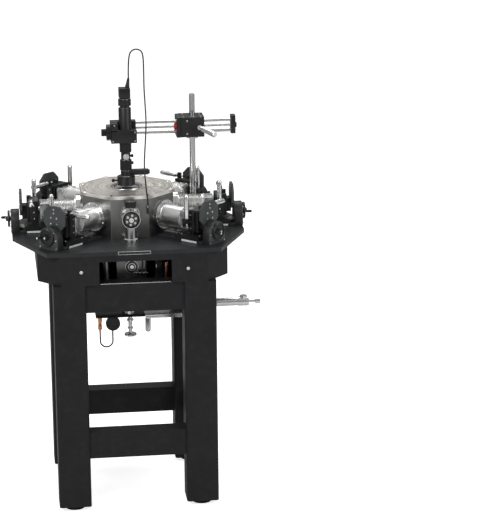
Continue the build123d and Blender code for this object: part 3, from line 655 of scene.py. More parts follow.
class STATION_OT_camera_cable(bpy.types.Operator):
    """The camera's pigtail cable from the boot on the camera, and the connector that hangs at the lid's
    corner
    """

    bl_idname = "station.camera_cable"
    bl_label = "Camera Cable"

    route = (
        (14, 60, 1335),
        (14, 60, 1368),
        (18, 60, 1413),
        (31, 60, 1426),
        (49, 60, 1426),
        (62, 60, 1413),
        (63, 58, 1357),
        (62, 50, 1307),
        (63, 35, 1263),
        (64, 10, 1210),
        (60, -15, 1165),
        (55, -35, 1123),
        (51, -52, 1088),
        (50, -66, 1059),
        (52, -80, 1024),
        (53, -92, 995),
        (57, -92, 975),
        (57, -92, 955),
    )

    def execute(self, context):
        data = bpy.data.curves.new("camera_cord", "CURVE")
        data.dimensions = "3D"
        data.bevel_depth = 0.00225
        data.bevel_resolution = 4
        data.resolution_u = 10
        data.use_fill_caps = True
        spline = data.splines.new("NURBS")
        spline.points.add(len(self.route) - 1)
        for point, (x, y, z) in zip(spline.points, self.route):
            point.co = (x / 1000, y / 1000, z / 1000, 1)
        spline.order_u = 3
        spline.use_endpoint_u = True
        data.materials.append(bpy.data.materials["cable_rubber"])
        cable = bpy.data.objects.new("camera_cord", data)
        context.scene.collection.objects.link(cable)
        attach(cable, "microscope")
        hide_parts("camera_cable")
        plug = Piece("camera_connector")
        profile = [(0, -0.027), (0.0036, -0.027), (0.0042, -0.0262), (0.0042, -0.02), (0.005, -0.0195)]
        profile += knurled_profile(0.005, -0.019, -0.009, 0.0016, 0.0003)
        profile += [(0.0046, -0.008), (0.0034, -0.001), (0.0028, 0), (0, 0)]
        plug.turned(profile, Matrix.Translation((0.057, -0.092, 0.955)), 32)
        connector = plug.finish("microscope", "dark_screw", replaces=("camera_plug",))
        return {"FINISHED"}


class STATION_OT_frame_finishes(bpy.types.Operator):
    """Finishes of the solids that keep their own shape"""

    bl_idname = "station.frame_finishes"
    bl_label = "Solid Finishes"

    finishes = {
        "stand_frame": "frame_powder_coat",
        "skirt_box": "frame_powder_coat",
        "deck_plate": "deck_satin",
        "levelling_feet": "cable_rubber",
        "chamber_body": "chamber_steel_painted_shade",
        "chamber_lid": "lid_steel_painted_sheen",
        "viewport_glass": "viewport_glass",
        "sample_stage": "copper_fitting",
        "front_valve": "brushed_steel",
        "front_valve_knob": "knob_plastic",
        "boom_post": "polished_steel",
        "boom_head": "black_anodised",
        "clamp_lever": "satin_chrome",
        # The chamber body takes the darker copy of the steel, which is painted shade.
        "boom": "polished_steel",
        "focus_knob": "knob_plastic",
        "vacuum_manifold": "brushed_steel",
        "hose_loops": "cable_rubber",
    }

    def execute(self, context):
        chosen = dict(self.finishes)
        for arm in ARMS:
            chosen[f"x_stage_{arm}"] = "black_anodised"
            chosen[f"z_stage_{arm}"] = "black_anodised"
        for node, material in chosen.items():
            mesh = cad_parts[node].data
            mesh.materials.clear()
            mesh.materials.append(bpy.data.materials[material])
        return {"FINISHED"}


class STATION_OT_chamber(bpy.types.Operator):
    """Lid screws, viewport ring and the bolted flanges on the six arm ports"""

    bl_idname = "station.chamber"
    bl_label = "Chamber Details"

    def execute(self, context):
        above = Matrix.Translation(CENTRE)
        ring = Piece("viewport_ring", above)
        ring.turned(
            [
                (0.0405, 0.984), (0.0405, 0.9853), (0.041, 0.9858), (0.052, 0.9858), (0.0525, 0.9853),
                (0.0525, 0.984),
            ],
        )
        for x, y in round_places(8, 0.0465, 22.5):
            ring.cap_screw((x, y, 0.9856), UP, 0.0018)
        ring.finish(ROOT, "polished_steel", slot="stainless")
        bright = Piece("lid_bolts", above)
        dark = Piece("lid_corner_screws", above)
        for i, (x, y) in enumerate(round_places(8, 0.148, 22.5)):
            (dark if i in FRONT_LID_SCREWS else bright).cap_screw((x, y, LID_TOP), UP, 0.0042, 0.003)
        bright.finish(ROOT, "satin_chrome", slot="stainless")
        dark.finish(ROOT, "dark_screw", slot="stage_black")
        seam = Piece("lid_seal", above)
        seam.prism(
            round_places(8, 0.1452 / cos(pi / 8), 22.5), 0.0016, Matrix.Translation((0, 0, 0.9722)), 0.0003,
        )
        seam.finish(ROOT, "cable_rubber", slot="cable_black")
        self.port_cover()
        for arm, azimuth in ARMS.items():
            self.flange(arm, azimuth)
        return {"FINISHED"}

    def port_cover(self):
        """Bolted cover on the front of the valve body, with a bright hub inside a dark rim."""
        face = pointing((0, -0.133, 0.921), MINUS_Y)
        cover = Piece("port_cover")
        cover.turned(
            [
                (0, 0), (0.0275, 0), (0.0285, 0.0008), (0.0285, 0.0072), (0.0277, 0.008), (0.0235, 0.008),
                (0.0225, 0.0065), (0, 0.0065),
            ],
            face,
        )
        cover.finish(ROOT, "black_anodised", slot="stage_black")
        hub = Piece("port_hub")
        hub.turned(
            [(0, 0.006), (0.0205, 0.006), (0.021, 0.0064), (0.021, 0.0094), (0.0205, 0.0098), (0, 0.0098)],
            face,
        )
        hub.slot = 1
        hub.turned(
            [(0.0272, 0.007), (0.0272, 0.0086), (0.0286, 0.0086), (0.0286, 0.007), (0.0272, 0.007)],
            face,
        )
        hub.turned(
            [
                (0.0085, 0.0095), (0.0085, 0.013), (0.008, 0.0165), (0.0072, 0.0172), (0, 0.0172),
                (0, 0.0095), (0.0085, 0.0095),
            ],
            face,
        )
        for x, z in round_places(6, 0.0148, 20):
            hub.cap_screw((x, -0.1427, 0.921 + z), MINUS_Y, 0.0042, 0.0046)
        hub.finish(ROOT, "dark_screw", "satin_chrome", slot="stainless")

    def flange(self, arm, azimuth):
        out = Piece(f"port_flange_{arm}", arm_space(azimuth))
        place = pointing((0.145, 0, ARM_Z), PLUS_X)
        profile = [
            (0.022, 0), (0.0464, 0), (0.047, 0.0006), (0.047, 0.0078), (0.0464, 0.0084), (0.044, 0.0085),
        ]
        profile += [
            (0.044, 0.0095), (0.0464, 0.0096), (0.047, 0.0102), (0.047, 0.0174), (0.0464, 0.018),
            (0.022, 0.018), (0.022, 0),
        ]
        out.turned(profile, place)
        out.finish(ROOT, "polished_steel", replaces=("chamber_flanges",), slot="stainless")
        bolts = Piece(f"flange_bolts_{arm}", arm_space(azimuth))
        for v, z in round_places(8, 0.042, 22.5):
            bolts.cap_screw((0.163, v, ARM_Z + z), PLUS_X, 0.0028, 0.0026)
        bolts.finish(ROOT, "satin_chrome", slot="stainless")


class STATION_OT_sleeves(bpy.types.Operator):
    """Ribbed bellows on the side arms and smooth telescopic sleeves on the other four"""

    bl_idname = "station.sleeves"
    bl_label = "Bellows and Sleeves"

    def execute(self, context):
        for arm, azimuth in ARMS.items():
            sleeve = Piece(f"sleeve_{arm}", arm_space(azimuth))
            place = pointing((0.163, 0, ARM_Z), PLUS_X)
            length = 0.083
            if arm in RIBBED:
                profile = [(0.023, 0), (0.0345, 0), (0.035, 0.0005), (0.035, 0.0045), (0.0345, 0.005)]
                folds = 14
                pitch = (length - 0.01) / folds
                for i in range(folds):
                    low = 0.005 + i * pitch
                    profile += [
                        (0.0298, low + pitch * 0.25), (0.0294, low + pitch * 0.36),
                        (0.0298, low + pitch * 0.47),
                    ]
                    profile += [
                        (0.0343, low + pitch * 0.75), (0.0348, low + pitch * 0.87), (0.0343, low + pitch),
                    ]
                profile += [
                    (0.035, length - 0.0045), (0.035, length - 0.0005), (0.0345, length), (0.023, length),
                    (0.023, 0),
                ]
            else:
                profile = [
                    (0.026, 0), (0.0345, 0), (0.035, 0.0005), (0.035, 0.005), (0.0338, 0.0056),
                    (0.0338, 0.0742),
                ]
                profile += [
                    (0.0345, 0.0748), (0.036, 0.0755), (0.036, length - 0.0005), (0.0355, length),
                    (0.026, length), (0.026, 0),
                ]
            sleeve.turned(profile, place, 64)
            sleeve.finish(ROOT, "sleeve_steel", replaces=("arm_bellows",), slot="stainless")
        return {"FINISHED"}


class STATION_OT_manipulator_bases(bpy.types.Operator):
    """Dovetail bases with their scale strips and the arch-topped drive housings"""

    bl_idname = "station.manipulator_bases"
    bl_label = "Manipulator Bases"

    def execute(self, context):
        for arm, azimuth in ARMS.items():
            space = arm_space(azimuth)
            base = Piece(f"base_{arm}", space)
            base.block((0.168, -0.042, DECK_Z), (0.345, 0.042, 0.859))
            for u in (0.176, 0.206):
                for v in (-0.033, 0.033):
                    base.cap_screw((u, v, 0.859), UP, 0.0034, 0.0026)
            base.finish(ROOT, "deck_satin", slot="deck_grey")
            rail = Piece(f"dovetail_{arm}", space)
            section = [(-0.018, 0.859), (0.018, 0.859), (0.021, 0.866), (-0.021, 0.866)]
            rail.prism(section, 0.175, facing_out(0.17), 0.0003)
            rail.bar(0.005, (0.17, 0, 0.8625), (0.1695, 0, 0.8625), 0.0001, 24)
            rail.finish(ROOT, "brushed_steel", slot="stainless")
            self.housing(arm, space)
            self.scale(arm, space)
        return {"FINISHED"}

    def housing(self, arm, space):
        arch = [(-ARCH_RADIUS, DECK_Z), (ARCH_RADIUS, DECK_Z)]
        turns = [pi * i / 24 for i in range(25)]
        arch += [(ARCH_RADIUS * cos(turn), ARCH_Z + ARCH_RADIUS * sin(turn)) for turn in turns]
        body = Piece(f"drive_housing_{arm}", space)
        body.prism(arch, 0.0245, facing_out(0.345), 0.0006)
        body.finish(ROOT, "housing_grey", replaces=("manipulator_bases",), slot="deck_grey")
        face = Piece(f"housing_face_{arm}", space)
        face.prism(arch, 0.0025, facing_out(0.3695), 0.0006)
        face.turned(
            [(0.0052, 0), (0.0125, 0), (0.013, 0.0005), (0.0125, 0.0009), (0.0052, 0.0009), (0.0052, 0)],
            pointing((0.3711, 0, SCREW_Z), PLUS_X),
        )
        face.finish(ROOT, "grey_hardcoat", slot="deck_grey")
        screws = Piece(f"housing_screws_{arm}", space)
        for angle in (0, 45, 90, 135, 180):
            v, z = 0.033 * cos(radians(angle)), ARCH_Z + 0.033 * sin(radians(angle))
            screws.cap_screw((0.3719, v, z), PLUS_X, 0.0022, 0.0018)
        for v in (-0.033, 0.033):
            screws.cap_screw((0.3719, v, 0.857), PLUS_X, 0.0022, 0.0018)
        screws.finish(ROOT, "satin_chrome", slot="stainless")

    def scale(self, arm, space):
        strip = Piece(f"travel_scale_{arm}", space)
        for side in (-1, 1):
            low, high = sorted((side * 0.042, side * 0.0424))
            strip.slot = 0
            strip.block((0.262, low, 0.8515), (0.322, high, 0.8575), 0.0001, 1)
            low, high = sorted((side * 0.0423, side * 0.0425))
            strip.slot = 1
            for i in range(28):
                u = 0.265 + i * 0.002
                top = 0.8567 if i % 5 == 0 else 0.8552
                strip.block((u, low, 0.8525), (u + 0.0005, high, top), 0.00005, 1)
        strip.finish(ROOT, "bare_label", "label_ink", slot="alloy")


class STATION_OT_arms(bpy.types.Operator):
    """Octagonal end plates, cross slides, arm tubes, vacuum boxes and probes"""

    bl_idname = "station.arms"
    bl_label = "Probe Arms"

    def execute(self, context):
        for arm, azimuth in ARMS.items():
            space = arm_space(azimuth)
            body = f"arm_{arm}"
            plate = Piece(f"end_plate_{arm}", space)
            plate.prism(octagon_outline(0.086, 0.944), 0.008, facing_out(0.335), 0.0009)
            self.crop(plate)
            plate.finish(body, "grey_hardcoat", replaces=(body,), slot="deck_grey")
            slide = Piece(f"cross_slide_{arm}", space)
            slide.block((0.3121, -0.032, 0.888), (0.32, 0.032, 0.948))
            slide.block((0.306, -0.032, 0.94805), (0.32, 0.01, 0.953))
            slide.block((0.306, -0.03, 0.883), (0.32, 0.03, 0.88795))
            slide.block((0.306, -0.008, 0.9525), (0.32, 0, 0.964))
            slide.block((0.3195, -0.018, 0.893), (0.3355, 0.018, 0.937))
            slide.finish(body, "black_anodised", slot="stage_black")
            self.screws(arm, space, body)
            self.tube(arm, space, body)
        return {"FINISHED"}

    def crop(self, plate):
        """Cuts the octagon level at its lower and upper edges."""
        for height, side in ((0.905, -1), (0.983, 1)):
            whole = plate.bm.verts[:] + plate.bm.edges[:] + plate.bm.faces[:]
            level = {"plane_co": (0, 0, height), "plane_no": (0, 0, side)}
            cut = bmesh.ops.bisect_plane(plate.bm, geom=whole, clear_outer=True, **level)
            rim = [item for item in cut["geom_cut"] if isinstance(item, bmesh.types.BMEdge)]
            if rim:
                bmesh.ops.contextual_create(plate.bm, geom=rim)

    def screws(self, arm, space, body):
        screws = Piece(f"end_plate_screws_{arm}", space)
        for v, z in (
            (0, 0.973), (0, 0.961), (-0.012, 0.946), (0.012, 0.946), (-0.012, 0.927), (0.012, 0.927),
        ):
            screws.cap_screw((0.343, v, z), PLUS_X, 0.003, 0.0018)
        for u in (0.251, 0.274):
            for v in (-0.024, 0, 0.024):
                screws.cap_screw((u, v, 0.944), UP, 0.0026, 0.002)
            for z in (0.892, 0.938):
                for side in (-1, 1):
                    screws.cap_screw((u, side * 0.029, z), (0, side, 0), 0.0026, 0.002)
        screws.finish(body, "satin_chrome", slot="stainless")

    def tube(self, arm, space, body):
        box = Piece(f"vacuum_box_{arm}", space)
        box.block((0.246, -0.029, 0.886), (0.279, 0.029, 0.944), 0.0012, 3)
        box.bar(0.01, (0.2785, 0, ARM_Z), (0.3125, 0, ARM_Z))
        box.bar(0.0125, (0.279, 0, ARM_Z), (0.283, 0, ARM_Z))
        box.finish(body, "brushed_steel", slot="stainless")
        probe = Piece(f"probe_{arm}", space)
        place = pointing((0.2465, 0, ARM_Z), MINUS_X)
        probe.turned(
            [(0, 0), (0.006, 0), (0.006, 0.1), (0.0052, 0.1015), (0.003, 0.102), (0.003, 0.146), (0, 0.146)],
            place, 32,
        )
        probe.slot = 1
        tip = pointing((0.101, 0, ARM_Z), Vector((0.064 - 0.101, 0, -0.006)))
        probe.turned(
            [(0, 0), (0.0026, 0), (0.0024, 0.004), (0.0012, 0.02), (0.0005, 0.0372), (0, 0.0375)], tip, 24,
        )
        probe.finish(body, "polished_steel", "copper_fitting", slot="stainless")


class STATION_OT_micrometers(bpy.types.Operator):
    """Lift and cross micrometers with graduated sleeves and round-tipped thimbles"""

    bl_idname = "station.micrometers"
    bl_label = "Micrometers"

    def execute(self, context):
        for arm, azimuth in ARMS.items():
            space = arm_space(azimuth)
            lift = pointing((0.294, -0.054, 0.93005), UP)
            cross = pointing((0.308, 0.04005, 0.958), (0, 1, 0))
            for kind, place in (("lift", lift), ("cross", cross)):
                node = f"{kind}_micrometer_{arm}"
                thimble = self.thimble(f"{kind}_thimble_{arm}", space, place)
                thimble.finish(node, "satin_chrome", "label_ink", replaces=(node,), slot="alloy")
        return {"FINISHED"}

    def thimble(self, name, space, place):
        piece = Piece(name, space)
        profile = [
            (0, -0.022), (0.0026, -0.022), (0.003, -0.0216), (0.003, 0.0001), (0.006, 0.0001),
            (0.0065, 0.0005),
        ]
        profile += [(0.0065, 0.0102), (0.0073, 0.0106), (0.0075, 0.0112), (0.0075, 0.03)]
        profile += knurled_profile(0.0075, 0.031, 0.052, 0.0021, 0.00022)
        profile += [
            (0.0075, 0.0695), (0.0071, 0.0715), (0.006, 0.0738), (0.0042, 0.0753), (0.002, 0.0759),
            (0, 0.076),
        ]
        piece.turned(profile, place, 40)
        piece.slot = 1
        for i in range(12):
            turn = Matrix.Rotation(radians(30 * i), 4, "Z")
            low, high = Vector((-0.0001, 0.0073, 0.0125)), Vector((0.0001, 0.00756, 0.0155 + 0.001 * (i % 2)))
            keep, piece.space = piece.space, piece.space @ place @ turn
            piece.block(low, high, 0.00003, 1)
            piece.space = keep
        return piece


class STATION_OT_drive_wheels(bpy.types.Operator):
    """Hand wheels of the long travel, each with a crank knob"""

    bl_idname = "station.drive_wheels"
    bl_label = "Drive Wheels"

    def execute(self, context):
        for arm, azimuth in ARMS.items():
            wheel = Piece(f"hand_wheel_{arm}", arm_space(azimuth))
            place = pointing((0.37205, 0, SCREW_Z), PLUS_X)
            profile = [
                (0, -0.021), (0.005, -0.021), (0.005, 0.0008), (0.009, 0.001), (0.009, 0.003),
                (0.0245, 0.003),
            ]
            profile += [
                (0.0262, 0.0036), (0.027, 0.0052), (0.027, 0.0078), (0.0262, 0.0094), (0.0245, 0.01),
                (0.0225, 0.01),
            ]
            profile += [
                (0.0215, 0.0075), (0.009, 0.007), (0.008, 0.0095), (0.008, 0.0154), (0.0074, 0.016),
                (0, 0.016),
            ]
            wheel.turned(profile, place)
            knob = pointing((0.3785, -0.018, SCREW_Z), PLUS_X)
            wheel.turned(
                [
                    (0, 0), (0.0022, 0), (0.0022, 0.005), (0.0036, 0.0055), (0.0045, 0.012), (0.0044, 0.022),
                    (0.003, 0.0236), (0, 0.0236),
                ],
                knob,
                28,
            )
            wheel.slot = 1
            wheel.turned(
                [(0, 0.0234), (0.0028, 0.0234), (0.003, 0.0248), (0.002, 0.0256), (0, 0.0256)], knob, 28,
            )
            wheel.cap_screw((0.388, 0, SCREW_Z), PLUS_X, 0.0035, 0.0012)
            node = f"drive_wheel_{arm}"
            wheel.finish(node, "black_anodised", "satin_chrome", replaces=(node,), slot="stage_black")
        return {"FINISHED"}


class STATION_OT_stages(bpy.types.Operator):
    """Screws on the black slides"""

    bl_idname = "station.stages"
    bl_label = "Stage Screws"

    def execute(self, context):
        for arm, azimuth in ARMS.items():
            space = arm_space(azimuth)
            saddle = Piece(f"saddle_screws_{arm}", space)
            for u in (0.241, 0.26):
                for v in (-0.038, 0.038):
                    saddle.cap_screw((u, v, 0.873), UP, 0.0028, 0.0022)
            for v in (-0.028, 0.028):
                saddle.cap_screw((0.324, v, 0.873), UP, 0.0028, 0.0022)
            saddle.finish(f"x_stage_{arm}", "satin_chrome", slot="stainless")
            cheek = Piece(f"cheek_screws_{arm}", space)
            for side in (-1, 1):
                for z in (0.897, 0.918, 0.939):
                    cheek.cap_screw((0.2985, side * 0.04, z), (0, side, 0), 0.0022, 0.0016)
            cheek.finish(f"z_stage_{arm}", "satin_chrome", slot="stainless")
        return {"FINISHED"}


class STATION_OT_microscope(bpy.types.Operator):
    """Objective, zoom tube, focus block, camera, light arm and knobs"""

    bl_idname = "station.microscope"
    bl_label = "Microscope"

    def execute(self, context):
        axis = Matrix.Translation(CENTRE)
        tube = Piece("microscope_tube", axis)
        profile = [
            (0, 0.998), (0.019, 0.998), (0.019, 0.99), (0.0278, 0.99), (0.0285, 0.9907), (0.0285, 1.0172),
            (0.0278, 1.018), (0.017, 1.018), (0.017, 1.038),
        ]
        profile += [(0.0184, 1.038)]
        profile += knurled_profile(0.019, 1.0385, 1.0705, 0.0022, 0.0004)
        profile += [(0.0184, 1.071), (0.015, 1.071)]
        profile += [(0.015, 1.097), (0.0184, 1.097)] + knurled_profile(0.019, 1.0975, 1.1255, 0.0022, 0.0004)
        profile += [(0.0192, 1.126), (0.02, 1.1267), (0.02, 1.2385), (0.0192, 1.24), (0.015, 1.24)]
        profile += [
            (0.015, 1.247), (0.0198, 1.247), (0.0205, 1.2477), (0.0205, 1.2673), (0.0198, 1.268),
            (0.016, 1.268), (0.016, 1.2735), (0, 1.2735),
        ]
        tube.turned(profile, steps=64)
        tube.finish("microscope", "black_anodised", replaces=("microscope",), slot="stage_black")
        self.silver(axis)
        self.blocks()
        self.knobs(axis)
        return {"FINISHED"}

    def silver(self, axis):
        rings = Piece("microscope_rings", axis)
        for low, high, radius in (
            (1.0178, 1.0195, 0.0176), (1.0368, 1.0382, 0.0176), (1.0708, 1.0722, 0.0156),
            (1.2398, 1.2412, 0.0156), (1.2678, 1.2692, 0.0166),
        ):
            rings.turned(
                [
                    (0.0145, low), (radius - 0.0004, low), (radius, low + 0.0004), (radius, high - 0.0004),
                    (radius - 0.0004, high), (0.0145, high), (0.0145, low),
                ],
            )
        rings.bar(0.0085, (0, -0.0135, 1.084), (0, -0.0255, 1.084), 0.0006)
        rings.bar(0.01, (0, -0.018, 1.084), (0, -0.0225, 1.084), 0.0006)
        rings.bar(0.0045, (0, -0.025, 1.084), (0, -0.027, 1.084), 0.0004)
        rings.finish("microscope", "satin_chrome", slot="chrome")
        light = Piece("light_arm", axis)
        light.bar(0.0105, (0.014, 0, LIGHT_Z), (0.06, 0, LIGHT_Z))
        light.bar(0.0102, (0.0605, 0, LIGHT_Z), (0.0715, 0, LIGHT_Z), 0.0012)
        light.slot = 1
        light.bar(0.0107, (0.0594, 0, LIGHT_Z), (0.0606, 0, LIGHT_Z), 0.0002)
        light.bar(0.008, (0.071, 0, LIGHT_Z), (0.076, 0, LIGHT_Z), 0.0008)
        light.finish("microscope", "black_anodised", "dark_screw", slot="chrome")

    def blocks(self):
        block = Piece("focus_block")
        block.block((-0.046, 0.038, 1.128), (0.036, 0.07995, 1.17), 0.0012, 3)
        block.block((-0.046, 0.038, 1.165), (-0.024, 0.07995, 1.192), 0.0012, 3)
        block.block((-0.012, 0.077, 1.128), (0.012, 0.086, 1.17), 0.0004)
        for x, z in ((-0.04, 1.135), (0.03, 1.135), (0.03, 1.163), (-0.035, 1.186)):
            block.slot = 1
            block.cap_screw((x, 0.038, z), MINUS_Y, 0.0026, 0.002)
        block.finish("microscope", "black_anodised", "satin_chrome", slot="stage_black")
        camera = Piece("camera_body")
        camera.block((-0.018, 0.042, 1.273), (0.018, 0.078, 1.304), 0.0016, 3)
        for x in (-0.014, 0.014):
            for y in (0.046, 0.074):
                camera.cap_screw((x, y, 1.304), UP, 0.0014, 0.0008)
        camera.slot = 1
        camera.turned(
            [
                (0, 0), (0.007, 0), (0.007, 0.006), (0.0062, 0.009), (0.0052, 0.0165), (0.0044, 0.024),
                (0.0031, 0.031), (0, 0.031),
            ],
            pointing((0.0095, 0.06, 1.304), (0.0045, 0, 0.031)),
            36,
        )
        camera.finish("microscope", "knob_plastic", "cable_rubber", slot="stage_black")

    def knobs(self, axis):
        knobs = Piece("microscope_knobs", axis)
        for z in (1.083, 1.06):
            place = pointing((0.0135, 0, z), PLUS_X)
            knobs.turned(
                [(0, 0), (0.003, 0), (0.003, 0.003)]
                + knurled_profile(0.005, 0.003, 0.0105, 0.0016, 0.0003)
                + [(0.0044, 0.011), (0, 0.011)],
                place,
                28,
            )
        thumb = pointing((-0.028, 0, 1.004), MINUS_X)
        knobs.turned(
            [(0, 0), (0.003, 0), (0.003, 0.0095)]
            + knurled_profile(0.006, 0.0098, 0.0172, 0.0015, 0.0004)
            + [(0.0052, 0.018), (0, 0.018)],
            thumb,
            28,
        )
        knobs.finish("microscope", "knob_plastic", slot="knob_black")
        wheel = Piece("focus_wheel")
        place = pointing((-0.04605, 0.06, 1.161), MINUS_X)
        profile = [(0, -0.013), (0.004, -0.013), (0.004, 0), (0.0245, 0), (0.0255, 0.0006)]
        profile += knurled_profile(0.026, 0.0012, 0.0128, 0.0018, 0.0005)
        profile += [(0.0255, 0.0134), (0.0245, 0.014), (0.013, 0.014), (0.012, 0.0145)]
        profile += knurled_profile(0.012, 0.016, 0.0285, 0.0016, 0.0004) + [(0.0112, 0.0299), (0, 0.0299)]
        wheel.turned(profile, place, 64)
        wheel.finish("focus_knob", "knob_plastic", replaces=("focus_knob",), slot="knob_black")


class STATION_OT_boom(bpy.types.Operator):
    """Boom rods, threaded lead screw, end plates, head cheek, red nut collar and clamp handle"""

    bl_idname = "station.boom"
    bl_label = "Boom"

    def execute(self, context):
        rods = Piece("boom_rods")
        for z in ROD_HEIGHTS:
            rods.bar(0.005, (0.032, BOOM_Y, z), (0.3465, BOOM_Y, z), steps=32)
        rods.finish("boom", "polished_steel", replaces=("boom",), slot="stainless")
        screw = Piece("boom_lead_screw")
        place = pointing((0.033, BOOM_Y, BOOM_Z), PLUS_X)
        screw.turned([(0, 0)] + knurled_profile(0.004, 0, 0.311, 0.0025, 0.00055) + [(0, 0.311)], place, 20)
        screw.finish("boom", "brushed_steel", slot="stainless")
        plates = Piece("boom_plates")
        plates.block((0.342, 0.079, 1.1405), (0.357, 0.109, 1.2), 0.0014)
        plates.block((-0.046, 0.08605, 1.128), (0.036, 0.108, 1.192), 0.0012)
        plates.block((-0.046, 0.08, 1.128), (-0.01205, 0.087, 1.192), 0.0008)
        plates.block((0.01205, 0.08, 1.128), (0.036, 0.087, 1.192), 0.0008)
        plates.turned(
            [(0, 0), (0.009, 0), (0.009, 0.0042), (0.0082, 0.005), (0, 0.005)],
            pointing((0.3565, BOOM_Y, BOOM_Z), PLUS_X), 40,
        )
        plates.slot = 1
        for z in ROD_HEIGHTS:
            plates.cap_screw((0.357, BOOM_Y, z), PLUS_X, 0.0028, 0.002)
        plates.finish("boom", "black_anodised", "satin_chrome", slot="stage_black")
        cheek = Piece("head_cheek")
        cheek.block((0.1665, 0.074, 1.1332), (0.1788, 0.0865, 1.1988), 0.001)
        cheek.block((0.1665, 0.1015, 1.1332), (0.1788, 0.146, 1.1988), 0.001)
        cheek.block((0.1665, 0.086, 1.1332), (0.1788, 0.102, 1.1435), 0.0006)
        cheek.block((0.1665, 0.086, 1.1905), (0.1788, 0.102, 1.1988), 0.0006)
        cheek.finish("boom_head", "black_anodised", slot="stage_black")
        collar = Piece("nut_collar")
        collar.turned(
            [
                (0.0062, 0.0003), (0.0096, 0), (0.01, 0.0006), (0.01, 0.0154), (0.0094, 0.016),
                (0.0062, 0.0158), (0.0062, 0.0003),
            ],
            pointing((0.1595, BOOM_Y, BOOM_Z), PLUS_X),
            40,
        )
        collar.finish("boom_head", "collar_red", slot="stage_black")
        handle = Piece("clamp_handle")
        handle.bar(0.008, (0.24, 0.0738, BOOM_Z), (0.24, 0.058, BOOM_Z))
        grip = pointing((0.2405, 0.062, 1.1665), (0.045, -0.052, -0.016))
        handle.turned(
            [(0, 0), (0.0055, 0), (0.0055, 0.012), (0.0085, 0.0125)]
            + knurled_profile(0.0092, 0.013, 0.062, 0.0028, 0.0004)
            + [(0.0092, 0.066), (0.008, 0.068), (0, 0.068)],
            grip,
            40,
        )
        handle.finish("clamp_lever", "satin_chrome", replaces=("clamp_lever",), slot="chrome")
        screws = Piece("head_screws")
        for x in (0.19, 0.246):
            screws.cap_screw((x, 0.14, 1.198), UP, 0.003, 0.0024)
            screws.cap_screw((x, 0.09, 1.198), UP, 0.003, 0.0024)
        for z in (1.145, 1.187):
            screws.cap_screw((0.2, 0.074, z), MINUS_Y, 0.0032, 0.0024)
        screws.finish("boom_head", "satin_chrome", slot="stainless")
        return {"FINISHED"}


